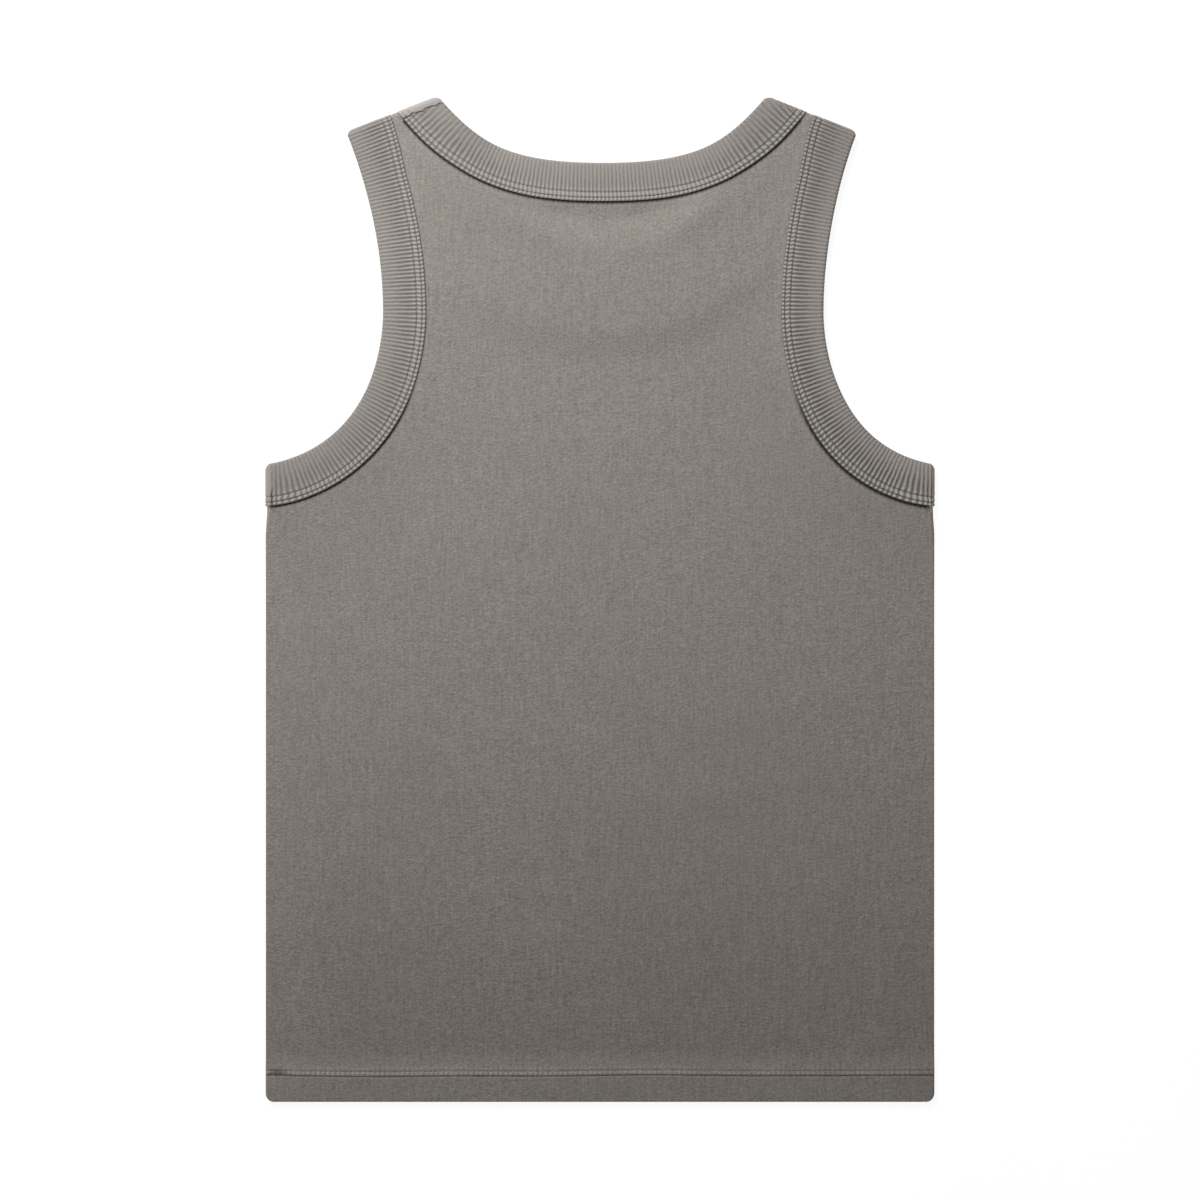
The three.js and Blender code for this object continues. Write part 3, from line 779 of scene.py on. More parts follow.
class Panel:
    """One jersey panel, worked out as rows of points on the right half and then mirrored."""

    def __init__(self, garment, is_back, columns, rows):
        self.garment = garment
        self.is_back = is_back
        self.sign = 1.0 if is_back else -1.0
        self.level = garment.back_level if is_back else garment.front_level
        self.neck = garment.back_neck if is_back else garment.front_neck
        self.columns = columns
        self.counts = rows
        self.rows = []
        self.kinds = []

    def add_row(self, kind, points, outer=1):
        self.kinds.append(kind)
        self.rows.append((points, outer))

    def flat_points(self, plan, lower=0.0):
        level = self.level(plan[:, 0], plan[:, 1]) - self.sign * lower
        return np.column_stack([plan, level])

    def side_row(self, side_y, centre_y, lower=0.0, back_off=0.0):
        """A row from the centre line to the side seam, where it turns towards the other panel."""
        edge_y = side_y + back_off
        garment = self.garment
        edge = garment.sizes.half_chest
        high = garment.back_level(np.array([edge]), np.array([side_y]))[0]
        low = garment.front_level(np.array([edge]), np.array([side_y]))[0]
        radius = (high - low) / 2
        axis = garment.side_edge(edge_y) - radius - JERSEY / 2
        shares = graded(self.columns, 0.0)
        plan = np.column_stack([shares * axis, mix(centre_y, side_y, shares)])
        flat = self.flat_points(plan, lower)
        turns = np.linspace(0.0, math.pi / 2, TURN_STEPS + 1)[1:]
        inner = max(radius - lower, TIGHTEST_TURN)
        rise = np.maximum(inner * np.cos(turns), SEAM_GAP / 2)
        seam = np.column_stack([
            axis + inner * np.sin(turns),
            np.full(TURN_STEPS, side_y),
            (high + low) / 2 + self.sign * rise,
        ])
        spare = np.repeat(flat[:1], TUCK_STEPS, axis=0)
        points = np.concatenate([spare, flat, seam])
        points[:, 1] += back_off
        return points

    def tucked(self, edge, share):
        """Points of the cut edge held in a band, from the cut to the seam."""
        line = laid(edge, np.array([share]), self.level, self.is_back)
        steps = np.linspace(0.0, TUCK, TUCK_STEPS + 1)[::-1]
        return line["foot"] + line["run"] * (line["width"] - steps)[:, None]

    def arm_row(self, arm_share, centre_y=None, neck_share=None):
        """A row from the centre line, or from the neck seam, to the armhole seam."""
        arm = self.tucked(self.garment.armhole, arm_share)
        steps = np.linspace(0.0, TUCK, TURN_STEPS + 1)
        run = unit(arm[0] - arm[-1])
        arm_tuck = arm[-1] + run * steps[1:, None]
        if neck_share is None:
            start = np.array([0.0, centre_y, 0.0])
            start[2] = self.level(start[:1], start[1:2])[0]
            neck = np.repeat(start[None], TUCK_STEPS + 1, axis=0)
            both = PART_CROWDED * smooth(centre_y, CORNER_Y, 250 * MM)
        else:
            neck = self.tucked(self.neck, neck_share)
            both = mix(PART_CROWDED, 1.0, smooth(neck_share, 0.0, 0.3))
        shares = graded(self.columns, both)[1:-1]
        plan = mix(neck[-1, :2], arm[-1, :2], shares[:, None])
        return np.concatenate([neck, self.flat_points(plan), arm[-1:], arm_tuck])

    def shoulder_row(self, turn):
        """A row in which the jersey turns over the shoulder between the two bands."""
        garment = self.garment
        sheet_turn = turn if self.is_back else math.pi - turn
        neck_seam = garment.neck_drift * FOLD_RADIUS * sheet_turn + garment.neck_at_shoulder
        arm_seam = garment.shoulder_length - garment.arm_at_shoulder
        places = np.concatenate([
            neck_seam - np.linspace(TUCK, 0.0, TUCK_STEPS + 1),
            mix(neck_seam, arm_seam, graded(self.columns, 1.0)[1:]),
            arm_seam + np.linspace(0.0, TUCK, TURN_STEPS + 1)[1:],
        ])
        rise = max(FOLD_RADIUS * math.cos(turn), SEAM_GAP / 2)
        between = smooth(np.minimum(places - neck_seam, arm_seam - places), -1.0 * MM, 0.6 * MM)
        swell = FOLD_RADIUS * math.sin(turn) + SHOULDER_SWELL * between * math.sin(turn) ** 2
        plan = garment.tip + places[:, None] * garment.along + swell[:, None] * garment.beyond
        return np.column_stack([plan, np.full(len(places), FOLD_LEVEL + self.sign * rise)])

    def hem_rows(self):
        """The turned hem: its flap on the inside, the fold at the bottom, and the rows of stitching."""
        sizes = self.garment.sizes
        for above in np.linspace(sizes.hem_depth + 0.8 * MM, 1.6 * MM, 9):
            y = sizes.hem_y + above
            self.add_row("side", self.side_row(y, y, HEM_GAP), 0)
        y = sizes.hem_y + HEM_PLACES[0] * MM
        for step in range(1, HEM_FOLD_STEPS):
            angle = math.pi * step / HEM_FOLD_STEPS
            lower = HEM_GAP / 2 * (1 + math.cos(angle))
            self.add_row("side", self.side_row(y, y, lower, -HEM_GAP / 2 * math.sin(angle)), 0)
        for above in HEM_PLACES:
            y = sizes.hem_y + above * MM
            self.add_row("side", self.side_row(y, y))
        return y

    def build(self):
        """Adds all rows, from the hem's inside up to the fold over the shoulder."""
        start = self.hem_rows()
        counts = self.counts
        top = self.neck.seam_points(np.array([0.0]))[0, 1]
        side_end = self.garment.under_seam_y - SEAM_GAP
        for share in np.linspace(0.0, 1.0, counts["body"] + 1)[1:]:
            centre_y = mix(start, CORNER_Y - 0.8 * MM, share)
            self.add_row("side", self.side_row(mix(start, side_end, share), centre_y))
        shares = list(np.arange(counts["centre"]) / counts["centre"])
        shares += [1 - below * MM / (top - CORNER_Y) for below in (3.6, 2.4, 1.4, 0.6)]
        for share in shares:
            arm_share = mix(1.0, NECK_MIDDLE_SHARE, share)
            self.add_row("arm", self.arm_row(arm_share, centre_y=mix(CORNER_Y, top, share)))
        for share in np.arange(counts["neck"] + 1) / counts["neck"]:
            self.add_row("neck", self.arm_row(NECK_MIDDLE_SHARE * (1 - share), neck_share=share))
        for turn in np.linspace(0.0, math.pi / 2, TURN_STEPS + 1)[1:]:
            self.add_row("neck", self.shoulder_row(turn))
        return self

    def kept_faces(self, shape):
        """Faces to keep: no neck tuck below the neck, and no corner between the side turn and the armhole."""
        keep = np.ones((shape[0] - 1, shape[1] - 1), dtype=bool)
        for row in range(shape[0] - 1):
            if self.kinds[row] != "neck":
                keep[row, :TUCK_STEPS] = False
            if self.kinds[row] == "side" and self.kinds[row + 1] != "side":
                keep[row, TUCK_STEPS + self.columns :] = False
        return keep

    def mesh(self, creases):
        points = np.stack([row[0] for row in self.rows])
        outer = np.array([row[1] for row in self.rows], dtype=float)[:, None]
        blank = np.zeros(points.shape[:2])
        # seam carries the painted shadow and shade, puff the painted highlight
        attributes = {"seam": blank, "puff": blank, "outer": blank + outer}
        mesh = grid_mesh(points, attributes, self.kept_faces(points.shape))
        bmesh.ops.mirror(mesh, geom=mesh.verts[:] + mesh.edges[:] + mesh.faces[:], axis="X", merge_dist=5e-5)
        loose = [vert for vert in mesh.verts if not vert.link_faces]
        bmesh.ops.delete(mesh, geom=loose, context="VERTS")
        bmesh.ops.recalc_face_normals(mesh, faces=mesh.faces)
        self.shape_surface(mesh, creases)
        return mesh

    def shape_surface(self, mesh, creases):
        """Marks the painted shadow along the seams and the painted highlight on the puffs, then adds creases,
        puckers, the hem's relief and the lean.
        """
        garment = self.garment
        dark, light, flags = (mesh.verts.layers.float[name] for name in ("seam", "puff", "outer"))
        places = np.array([vert.co[:] for vert in mesh.verts])
        outer = np.array([vert[flags] for vert in mesh.verts])
        x, y = places[:, 0], places[:, 1]
        across = np.abs(x)
        neck_line = garment.back_neck_seam if self.is_back else garment.front_neck_seam
        arm_gap = distance_from(garment.armhole_seam, across, y)
        neck_gap = distance_from(neck_line, across, y)
        from_arm, from_neck = np.maximum(arm_gap, 0), np.maximum(neck_gap, 0)
        free = np.minimum(arm_gap, neck_gap)
        to_side = garment.sizes.half_chest - across
        # Painted shadow below the band edges: full where the armhole runs low, faint up its sides, wider on
        # the right, and fading out near the shoulder fold
        under_arm = mix(0.06, 1.0, fall(y - 118 * MM, 62 * MM))
        arm_width = np.where(x > 0, 2.3 * MM, 1.8 * MM)
        arm_line = bell(from_arm, arm_width) * under_arm * smooth(to_side, 2 * MM, 7 * MM)
        seam = np.maximum(arm_line, bell(from_neck, 1.9 * MM))
        seam = seam * smooth(garment.below_shoulder(across, y), 1 * MM, 6 * MM)
        # Painted shade in the jersey corner between the neckband and the armband
        seam = np.maximum(seam, 0.15 * bell(from_neck, 9 * MM) * bell(from_arm, 13 * MM))
        # Painted highlight on the puckered strip beside the band seams
        puff = 0.15 * bell(np.maximum(free, 0) - 3.5 * MM, 2.5 * MM)
        calm = smooth(free, 1 * MM, 14 * MM) * smooth(to_side, 2 * MM, 10 * MM)
        calm = calm * smooth(y - garment.sizes.hem_y, 24 * MM, 34 * MM)
        rise = crease_height(creases, x, y) * calm
        if self.is_back:
            hem_painted_shade, hem_painted_highlight = hem_marks(garment, x, y)
            seam = np.maximum(seam, hem_painted_shade * outer)
            puff = np.maximum(puff, hem_painted_highlight * outer)
            gathers = puckers(y + 3 * MM * np.sign(x), arm_gap, 0.20 * MM) + puckers(x, neck_gap, 0.07 * MM)
            rise = rise + gathers + hem_relief(garment, x, y) * outer
        else:
            rise = np.maximum(rise, 0.0)
        places[:, 2] += rise
        places = garment.leaned(places)
        for vert, place, shade, shine in zip(mesh.verts, places, seam, puff):
            vert.co = place
            vert[dark] = shade
            vert[light] = shine


def puckers(run, free, height):
    """Short slanting gathers in the jersey where a band's stitching draws it in."""
    wave = np.sin(2 * math.pi * (run + 0.6 * free) / (9.5 * MM) + 1.3 * np.sin(run / (23 * MM)))
    swell = 0.5 + 0.5 * np.sin(run / (31 * MM) + 0.8)
    return height * wave * swell * smooth(free, 0.5 * MM, 3 * MM) * fall(free - 4 * MM, 12 * MM)


# Heights of what the hem's stitching shapes, and how far in from the left end its dimple is
HEM_DIMPLE_IN = 9 * MM
HEM_GROOVES = (0.50 * MM, 0.14 * MM)
HEM_PUFF = 0.22 * MM
HEM_PUFF_ABOVE = 0.16 * MM
HEM_DIMPLE = 0.7 * MM
HEM_LIFT = 0.6 * MM


def hem_row_place(garment, row, x):
    """Height of a row of hem stitching, which wanders a little along the hem."""
    wander = 0.45 * MM * np.sin(x / (61 * MM) + 0.7) + 0.25 * MM * np.sin(x / (23 * MM))
    lift = 1.2 * MM * smooth(x, 170 * MM, 250 * MM)
    return garment.sizes.hem_y + row + wander + lift


def hem_marks(garment, x, y):
    """Where the hem gets painted shade, along its stitches and in its dimple, and where its puffed rows get
    painted highlight.
    """
    low, high = (y - hem_row_place(garment, row, x) for row in HEM_STITCH_ROWS)
    # The painted highlight weakens towards the right
    fade = mix(1.0, 0.55, smooth(x, -120 * MM, 220 * MM))
    dimple = bell(x + garment.sizes.half_chest - HEM_DIMPLE_IN, 8 * MM)
    uneven = 0.5 + 0.25 * np.sin(x / (5.3 * MM)) + 0.25 * np.sin(x / (13 * MM) + 1.1)
    # Painted shade along the lower stitches, fainter along the upper ones, and in the dimple at the left end
    dark = bell(low, 0.55 * MM) * mix(0.42, 0.78, uneven)
    dark = np.maximum(dark, bell(high, 0.45 * MM) * (0.12 + 0.5 * dimple))
    dark = np.maximum(dark, 0.55 * bell(low - 1.2 * MM, 2.0 * MM) * dimple)
    light = 1.5 * bell(low - 2.0 * MM, 1.2 * MM) + 0.6 * bell(high - 1.6 * MM, 1.4 * MM)
    light = light * fade * mix(1.15, 0.65, uneven)
    return dark, np.clip(light * (1 - 0.8 * dimple), 0, 1)


def hem_relief(garment, x, y):
    """Grooves along the hem's stitches, the puffed rows beside them, the dimple at the left and a lift."""
    low, high = HEM_STITCH_ROWS
    rows = (low, high, (low + high) / 2, high + 2.4 * MM)
    off_low, off_high, off_middle, off_above = (y - hem_row_place(garment, row, x) for row in rows)
    gather = 0.5 + 0.5 * np.sin(2 * math.pi * x / (7.8 * MM) + 0.8 * np.sin(x / (19 * MM)))
    dimple = bell(x + garment.sizes.half_chest - HEM_DIMPLE_IN, 7 * MM) * bell(off_middle, 2.2 * MM)
    lift = smooth(x, 190 * MM, 240 * MM) * bell(y - garment.sizes.hem_y - 26 * MM, 9 * MM)
    grooves = HEM_GROOVES[0] * bell(off_low, 0.6 * MM) + HEM_GROOVES[1] * bell(off_high, 0.6 * MM)
    puffs = HEM_PUFF * bell(off_middle, 1.3 * MM) + HEM_PUFF_ABOVE * bell(off_above, 2.2 * MM)
    return puffs * gather - grooves - HEM_DIMPLE * dimple + HEM_LIFT * lift


# Stitches


STITCH_RINGS = 5
STITCH_SIDES = 6


def stitch_row(places, outs, length, radius, every):
    """Points of separate stitches laid along a run of places at a steady spacing."""
    steps = np.linalg.norm(np.diff(places, axis=0), axis=1)
    travelled = np.concatenate([[0.0], np.cumsum(steps)])
    count = int(travelled[-1] / every)
    centres = (np.arange(count) + 0.5) * travelled[-1] / count
    ahead, behind = (sampled(centres + reach, travelled, places) for reach in (0.4 * length, -0.4 * length))
    heading = unit(ahead - behind)
    out = unit(sampled(centres, travelled, outs))
    aside = np.cross(out, heading)
    swing = np.linspace(0.0, math.pi, STITCH_RINGS)[None, :, None, None]
    turn = np.linspace(0.0, 2 * math.pi, STITCH_SIDES + 1)[None, None, :, None]
    middle = sampled(centres, travelled, places)[:, None, None]
    thread = aside[:, None, None] * np.cos(turn) + out[:, None, None] * np.sin(turn)
    points = middle + heading[:, None, None] * np.cos(swing) * length / 2 + thread * np.sin(swing) * radius
    return points.reshape(count * STITCH_RINGS, STITCH_SIDES + 1, 3)


def stitch_mesh(rows):
    """All stitches of some rows as one mesh of small closed beads."""
    points = np.concatenate(rows)
    keep = np.ones((len(points) - 1, STITCH_SIDES), dtype=bool)
    keep[STITCH_RINGS - 1 :: STITCH_RINGS] = False
    mesh = grid_mesh(points, {}, keep, closed=(True, True))
    bmesh.ops.recalc_face_normals(mesh, faces=mesh.faces)
    return mesh


# Materials: sockets as numbers


class Signal:
    """A node socket that can be added, subtracted and multiplied like a number."""

    def __init__(self, finish, socket):
        self.finish = finish
        self.socket = socket

    def _math(self, operation, *values):
        return self.finish.node("ShaderNodeMath", {"operation": operation}, dict(enumerate(values)))

    def __add__(self, other):
        return self._math("ADD", self, other)

    __radd__ = __add__

    def __mul__(self, other):
        return self._math("MULTIPLY", self, other)

    __rmul__ = __mul__

    def __sub__(self, other):
        return self._math("SUBTRACT", self, other)

    def __rsub__(self, other):
        return self._math("SUBTRACT", other, self)

    def sine(self):
        return self._math("SINE", self)

    def step(self, low, high):
        """Eased step of this signal from low to high."""
        inputs = {"Value": self, "From Min": low, "From Max": high}
        return self.finish.node("ShaderNodeMapRange", {"interpolation_type": "SMOOTHSTEP"}, inputs, "Result")


class Finish:
    """A material under construction."""

    def __init__(self, name):
        self.material = bpy.data.materials.new(name)
        self.material.use_nodes = True
        self.tree = self.material.node_tree
        self.shader = self.tree.nodes["Principled BSDF"]

    def connect(self, node, inputs):
        """Links signals to a node's sockets, and sets plain values straight on them."""
        for key, value in inputs.items():
            if isinstance(value, Signal):
                self.tree.links.new(value.socket, node.inputs[key])
            else:
                node.inputs[key].default_value = value

    def feed(self, inputs):
        self.connect(self.shader, inputs)

    def node(self, kind, settings, inputs, output=0):
        """Adds a node of this kind with its settings, feeds its sockets and returns one output."""
        made = self.tree.nodes.new(kind)
        for key, value in settings.items():
            setattr(made, key, value)
        self.connect(made, inputs)
        return Signal(self, made.outputs[output])

    def attribute(self, name):
        settings = {"attribute_type": "GEOMETRY", "attribute_name": name}
        return self.node("ShaderNodeAttribute", settings, {}, "Fac")

    def coordinates(self):
        return self.node("ShaderNodeTexCoord", {}, {}, "Object")

    def axes(self):
        """Object coordinates across and up the garment."""
        where = {"Vector": self.coordinates()}
        return [self.node("ShaderNodeSeparateXYZ", {}, where, axis) for axis in ("X", "Y")]

    def noise(self, stretch, detail=2.0, offset=(0.0, 0.0, 0.0), distortion=0.0):
        """Noise in object coordinates, with its own scale along each axis."""
        placing = {"Vector": self.coordinates(), "Scale": stretch, "Location": offset}
        inputs = {
            "Vector": self.node("ShaderNodeMapping", {"vector_type": "POINT"}, placing),
            "Scale": 1.0, "Detail": detail, "Roughness": 0.55, "Distortion": distortion,
        }
        return self.node("ShaderNodeTexNoise", {"noise_dimensions": "3D"}, inputs, "Fac")

    def scaled(self, colour, light):
        """A colour made lighter or darker."""
        inputs = {0: colour, "Scale": light}
        return self.node("ShaderNodeVectorMath", {"operation": "SCALE"}, inputs, "Vector")

    def blend(self, share, first, second):
        """Mix of two colours."""
        first, second = (
            colour if isinstance(colour, Signal) else (*colour, 1.0) for colour in (first, second)
        )
        return self.node("ShaderNodeMix", {"data_type": "RGBA"}, {0: share, 6: first, 7: second}, 2)

    def bump(self, height, strength, distance):
        inputs = {"Height": height, "Strength": strength, "Distance": distance}
        return self.node("ShaderNodeBump", {}, inputs, "Normal")


def jersey_finish(finish, colours):
    """Washed, pigment-dyed jersey: fine wales up and down, mottled dye, small crinkles, a painted light
    falloff, painted shadow along the seams and the hem's stitches, and painted highlight on the puffs.
    """
    across, up = finish.axes()
    left = 0.0 - across
    down = 0.0 - up
    wales = finish.noise((760.0, 60.0, 300.0))
    grain = finish.noise((520.0, 600.0, 300.0), offset=(2.0, 5.0, 0.0))
    curl = finish.noise((180.0, 430.0, 200.0), offset=(3.1, 1.7, 0.0), distortion=1.6)
    drift = finish.noise((21.0, 15.0, 18.0), 4.0, (7.3, 2.2, 0.0))
    clouds = finish.noise((7.0, 6.0, 8.0), offset=(1.9, 4.6, 0.0))
    crinkle = (curl - 0.5) * (clouds.step(0.35, 0.65) * 0.6 + 0.4)
    worn_dye = (drift + 0.18 * (wales - 0.5) + 0.1 * (grain - 0.5)).step(0.46, 0.56)
    hem = down.step(0.352, 0.357)
    # Painted light falloff: lighter towards the top, darker towards the bottom but not on the hem's fold, and
    # lighter at the lower left edge
    painted_falloff = 0.13 * up.step(-0.42, 0.12) - 0.085
    painted_falloff = painted_falloff - down.step(0.17, 0.30) * (0.045 - 0.085 * hem)
    painted_falloff = painted_falloff + 0.06 * left.step(0.19, 0.245) * down.step(-0.05, 0.30)
    texture = 0.80 * (grain - 0.5) + 0.42 * (wales - 0.5) + 0.62 * crinkle + 0.12 * (clouds - 0.5)
    pink = 0.6 * worn_dye * down.step(-0.10, 0.16)
    shade = finish.scaled(finish.blend(pink, colours.jersey, colours.jersey_pink), 1.0 + painted_falloff + texture)
    # Painted highlight on the puffed hem rows and beside the band seams
    puff = finish.attribute("puff")
    stitches = 0.5 + 0.5 * (across * (2 * math.pi / HEM_STITCH_SPACING) + 2.5 * clouds).sine()
    shade = finish.blend(puff * (0.15 + 0.45 * stitches) * (0.4 + 1.2 * grain), shade, colours.wear_and_highlight)
    # Painted shadow and shade from the seam attribute, in dashes along the hem
    seam = finish.attribute("seam")
    shade = finish.blend((seam * (1.22 - 0.22 * stitches)).step(0.0, 1.0), shade, colours.shade_and_dye)
    height = 0.9 * grain + 0.5 * wales + 0.9 * crinkle + 0.5 * puff * stitches
    finish.feed({
        "Base Color": shade, "Normal": finish.bump(height, 0.9, 0.5 * MM), "Roughness": 0.92,
        "Sheen Weight": 0.12, "Sheen Roughness": 0.55, "Specular IOR Level": 0.12,
    })


def rib_finish(finish, colours):
    """Washed rib: painted shade in the grooves, crests lighter from wear and painted highlight, painted
    highlight on the stitch bumps, painted light and shade by place, and a plain strip lighter from wear at
    each join.
    """
    fine = finish.noise((640.0, 640.0, 500.0))
    patches = finish.noise((34.0, 34.0, 30.0), offset=(5.0, 3.0, 0.0))
    height, bump, plain, join = (finish.attribute(name) for name in ("height", "bump", "plain", "join"))
    # Painted shade in the grooves: the lower the face, the darker
    crest = (height - 0.25 + 0.35 * (fine - 0.5)).step(0.0, 1.0)
    cloth = finish.blend(crest, colours.shade_and_dye, colours.rib)
    across, up = finish.axes()
    outwards = (across * across).step(0.002, 0.008)
    right = across.step(0.0, 0.12)
    right_end = across.step(0.20, 0.23)
    shoulders = outwards * up.step(0.26, 0.34)
    under_arm = (0.0 - up).step(-0.24, -0.12)
    # More painted groove shade towards the outer parts, on the right and under the arms
    groove = (0.22 + 0.12 * outwards + 0.18 * right + 0.06 * under_arm) * (1.0 - crest)
    cloth = finish.blend((1.0 - groove) * (1.0 - 0.5 * join), cloth, colours.rib)
    # Crests lighter in patches of wear, with painted highlight towards the outer parts and the right; the
    # stitch bumps carry painted highlight
    rubbed_and_lit = 0.22 * patches + 0.05 * outwards + 0.10 * right
    wear_and_highlight = 0.80 * bump + 0.55 * plain * (1.0 - join) + crest * rubbed_and_lit
    cloth = finish.blend(wear_and_highlight, cloth, colours.wear_and_highlight)
    cloth = finish.blend(join * 0.8, cloth, colours.shade_and_dye)
    # Painted light and shade by place: darker under the arms and at the shoulders, lighter at the right end
    light = 0.84 + 0.28 * fine - 0.025 * under_arm - 0.10 * shoulders + 0.11 * right_end
    finish.feed({
        "Base Color": finish.scaled(cloth, light), "Normal": finish.bump(fine, 0.35, 0.2 * MM),
        "Roughness": 0.9, "Sheen Weight": 0.15, "Sheen Roughness": 0.5, "Specular IOR Level": 0.12,
    })


def thread_finish(finish, colours):
    """Cotton sewing thread, dyed with the cloth."""
    twist = finish.noise((1500.0, 1500.0, 1500.0), 1.0)
    shade = finish.blend(twist.step(0.3, 0.7), colours.shade_and_dye, colours.jersey)
    finish.feed({"Base Color": shade, "Roughness": 0.85, "Specular IOR Level": 0.15})


def table_finish(finish, colours):
    """Plain pale table that stays near white."""
    grain = finish.noise((3.0, 3.0, 3.0), 1.0)
    pale = finish.blend(grain, colours.floor, tuple(min(1.0, value * 1.02) for value in colours.floor))
    finish.feed({
        "Base Color": finish.scaled(pale, 0.2), "Roughness": 0.9, "Specular IOR Level": 0.0,
        "Emission Color": pale, "Emission Strength": 0.98,
    })


FINISHES = {
    "washed_jersey": jersey_finish,
    "washed_rib": rib_finish,
    "sewing_thread": thread_finish,
    "pale_table": table_finish,
}


def material_named(name):
    """The named material, made the first time it is asked for."""
    if name not in bpy.data.materials:
        FINISHES[name](Finish(name), bpy.context.scene.tank_top_finish)
    return bpy.data.materials[name]


def ride_and_slot(piece, slot, *nodes):
    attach(piece, "root")
    if nodes:
        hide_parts(*nodes)


def add_band(garment, name, loop, relief=1.0, flipped=False):
    """One rib band, with its ribs at this share of their usual height."""
    mesh = band_mesh(garment, loop, relief * garment.sizes.rib_depth, flipped)
    piece = finished(mesh, f"{name}_rib", material_named("washed_rib"))
    ride_and_slot(piece, "rib", name)


def add_stitches(name, rows, slot):
    piece = finished(stitch_mesh(rows), f"{name}_stitches", material_named("sewing_thread"))
    ride_and_slot(piece, slot)


# Operators


class TANKTOP_OT_panels(bpy.types.Operator):
    """Make the front and back jersey panels with their turned hems"""

    bl_idname = "tank_top.panels"
    bl_label = "Jersey Panels"

    def execute(self, context):
        garment = Garment(context.scene.tank_top_shape)
        plans = (
            ("back", BACK_CREASES, 66, {"body": 78, "centre": 56, "neck": 46}),
            ("front", FRONT_CREASES, 44, {"body": 46, "centre": 40, "neck": 46}),
        )
        for side, creases, columns, rows in plans:
            panel = Panel(garment, side == "back", columns, rows).build()
            piece = finished(panel.mesh(creases), f"{side}_jersey", material_named("washed_jersey"))
            wall = piece.modifiers.new("wall", "SOLIDIFY")
            wall.thickness = JERSEY_SHOWN
            wall.offset = 0.0
            ride_and_slot(piece, "jersey", f"{side}_panel")
        return {"FINISHED"}


class TANKTOP_OT_neckband(bpy.types.Operator):
    """Make the rib neckband"""

    bl_idname = "tank_top.neckband"
    bl_label = "Neckband"

    def execute(self, context):
        garment = Garment(context.scene.tank_top_shape)
        add_band(garment, "neckband", neckband_loop(garment), NECKBAND_RELIEF)
        return {"FINISHED"}


class TANKTOP_OT_armbands(bpy.types.Operator):
    """Make the two rib armbands"""

    bl_idname = "tank_top.armbands"
    bl_label = "Armbands"

    def execute(self, context):
        garment = Garment(context.scene.tank_top_shape)
        add_band(garment, "armband_left", armband_loop(garment, joined=True), flipped=True)
        add_band(garment, "armband_right", armband_loop(garment, joined=False))
        return {"FINISHED"}


class TANKTOP_OT_stitches(bpy.types.Operator):
    """Sew the bands and the hem with rows of twin-needle stitches"""

    bl_idname = "tank_top.stitches"
    bl_label = "Stitches"

    def execute(self, context):
        garment = Garment(context.scene.tank_top_shape)
        armhole = armband_loop(garment, joined=False)
        loops = (
            ("neckband", neckband_loop(garment), 1.0),
            ("armband_left", armhole, MIRROR),
            ("armband_right", armhole, 1.0),
        )
        level = BAND_HALF - STITCH_SUNK
        for name, loop, flip in loops:
            rows = []
            for row in BAND_STITCH_ROWS:
                places = garment.leaned(band_place(loop, loop["width"] - row, level) * flip)
                rows.append(stitch_row(places, loop["out"] * flip, *BAND_STITCH))
            add_stitches(name, rows, "rib")
        end = garment.sizes.half_chest - 3 * MM
        x = np.linspace(-end, end, 400)
        upwards = np.tile([0.0, 0.0, 1.0], (len(x), 1))
        rows = []
        for row in HEM_STITCH_ROWS:
            y = hem_row_place(garment, row, x)
            z = garment.back_level(x, y) + JERSEY_SHOWN / 2 + hem_relief(garment, x, y) + STITCH_PROUD
            rows.append(stitch_row(np.column_stack([x, y, z]), upwards, *HEM_STITCH))
        add_stitches("hem", rows, "jersey")
        return {"FINISHED"}


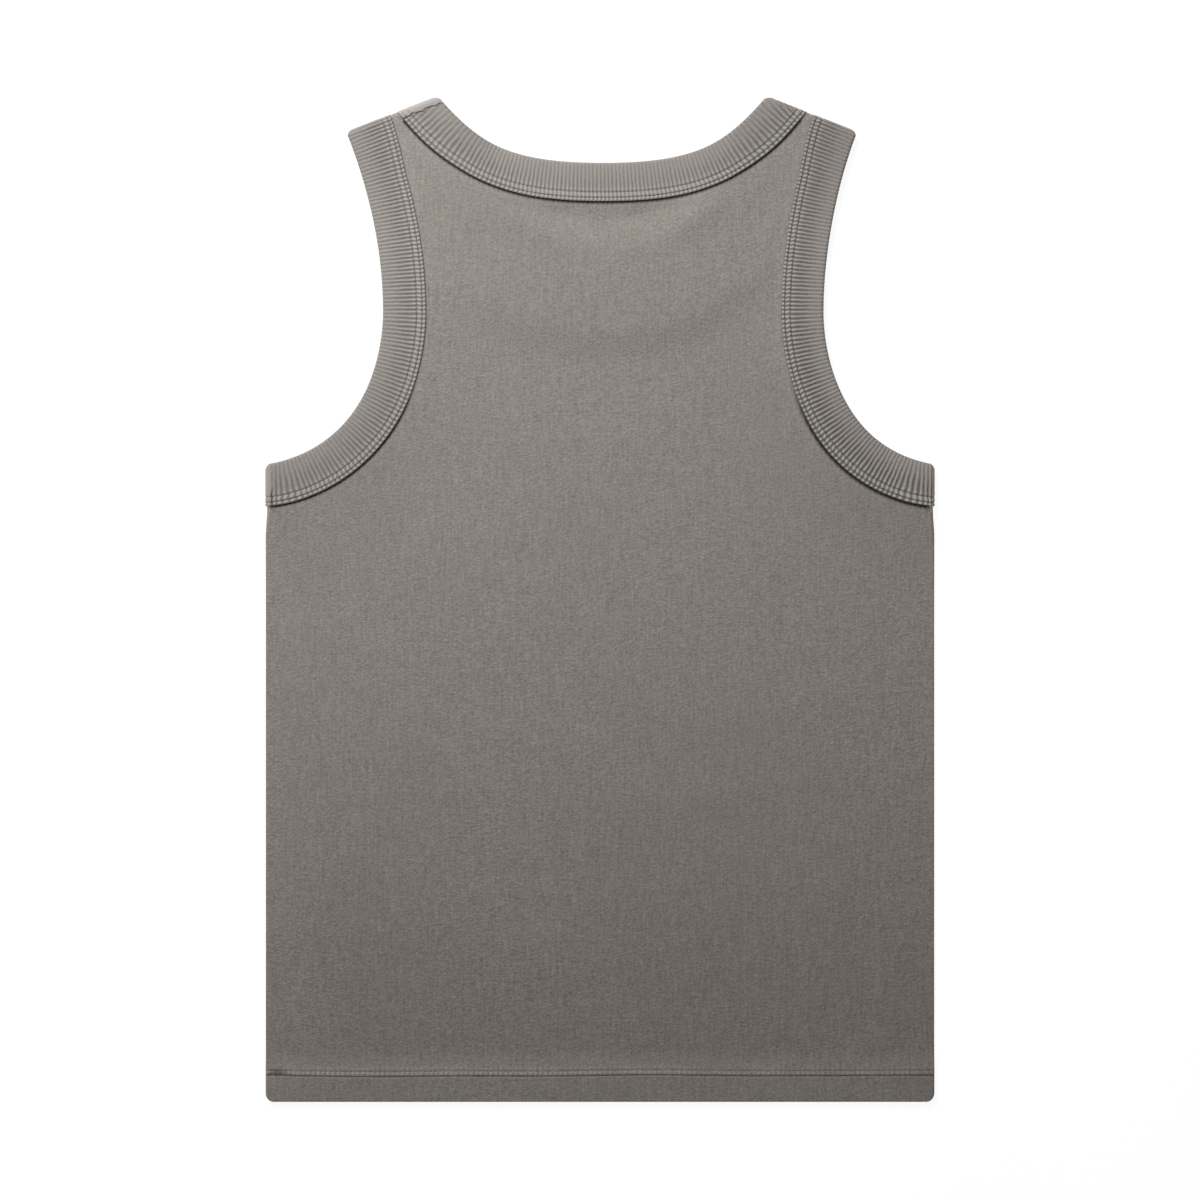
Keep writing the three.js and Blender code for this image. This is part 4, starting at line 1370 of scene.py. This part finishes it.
class TANKTOP_OT_stage(bpy.types.Operator):
    """Set the pale table, the soft light and the camera straight above the garment"""

    bl_idname = "tank_top.stage"
    bl_label = "Stage"

    def execute(self, context):
        stage = context.scene.tank_top_stage
        mesh = bmesh.new()
        bmesh.ops.create_grid(mesh, x_segments=1, y_segments=1, size=TABLE_HALF)
        bmesh.ops.translate(mesh, verts=mesh.verts, vec=(0.0, 0.0, -TABLE_DROP))
        finished(mesh, "table", material_named("pale_table"))
        self.add_light(stage)
        self.add_world(context, stage)
        self.add_camera(context, stage)
        context.scene.view_settings.view_transform = "Standard"
        return {"FINISHED"}

    def add_light(self, stage):
        data = bpy.data.lights.new("key", "AREA")
        data.shape = "RECTANGLE"
        data.size = KEY_SIZE
        data.size_y = KEY_SIZE
        data.energy = stage.key
        light = linked("key", data)
        light.location = KEY_PLACE
        light.rotation_euler = (KEY_TARGET - KEY_PLACE).to_track_quat("-Z", "Y").to_euler()
        light.visible_camera = False

    def add_world(self, context, stage):
        world = context.scene.world or bpy.data.worlds.new("studio")
        context.scene.world = world
        world.use_nodes = True
        background = world.node_tree.nodes["Background"]
        background.inputs["Color"].default_value = (1.0, 1.0, 1.0, 1.0)
        background.inputs["Strength"].default_value = stage.fill

    def add_camera(self, context, stage):
        data = bpy.data.cameras.new("above")
        data.lens = stage.lens
        data.sensor_width = 36.0
        data.clip_end = 20.0
        camera = linked("above", data)
        camera.location = (0.0, 0.0, BAND_HIGH + stage.seen * stage.lens / data.sensor_width)
        context.scene.camera = camera


class TANKTOP_OT_declare_sheets(bpy.types.Operator):
    """Work out the garment's plan from its sizes"""

    bl_idname = "tank_top.declare_sheets"
    bl_label = "Cut Sizes"

    def execute(self, context):
        garment = Garment(context.scene.tank_top_shape)
        return {"FINISHED"}


class TANKTOP_PT_panel(bpy.types.Panel):
    """Sizes, finishes and steps of the tank top"""

    bl_label = "Tank Top"
    bl_idname = "TANKTOP_PT_panel"
    bl_space_type = "VIEW_3D"
    bl_region_type = "UI"
    bl_category = "Tank Top"

    def draw(self, context):
        layout = self.layout
        for group_name in GROUPS:
            group = getattr(context.scene, group_name)
            column = layout.column(align=True)
            for name in group.__annotations__:
                column.prop(group, name)
        for operator in OPERATORS:
            layout.operator(operator.bl_idname)


GROUPS = {
    "tank_top_shape": TankTopShape,
    "tank_top_finish": TankTopFinish,
    "tank_top_stage": TankTopStage,
}
OPERATORS = (
    TANKTOP_OT_panels,
    TANKTOP_OT_neckband,
    TANKTOP_OT_armbands,
    TANKTOP_OT_stitches,
    TANKTOP_OT_stage,
    TANKTOP_OT_declare_sheets,
)
CLASSES = (*GROUPS.values(), *OPERATORS, TANKTOP_PT_panel)


def register():
    for cls in CLASSES:
        bpy.utils.register_class(cls)
    for name, group in GROUPS.items():
        setattr(bpy.types.Scene, name, PointerProperty(type=group))


def unregister():
    for name in GROUPS:
        delattr(bpy.types.Scene, name)
    for cls in reversed(CLASSES):
        bpy.utils.unregister_class(cls)


def main():
    """Registers the add-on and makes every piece."""
    register()
    bpy.ops.tank_top.panels()
    bpy.ops.tank_top.neckband()
    bpy.ops.tank_top.armbands()
    bpy.ops.tank_top.stitches()
    bpy.ops.tank_top.stage()
    bpy.ops.tank_top.declare_sheets()


if __name__ == "__main__":
    main()
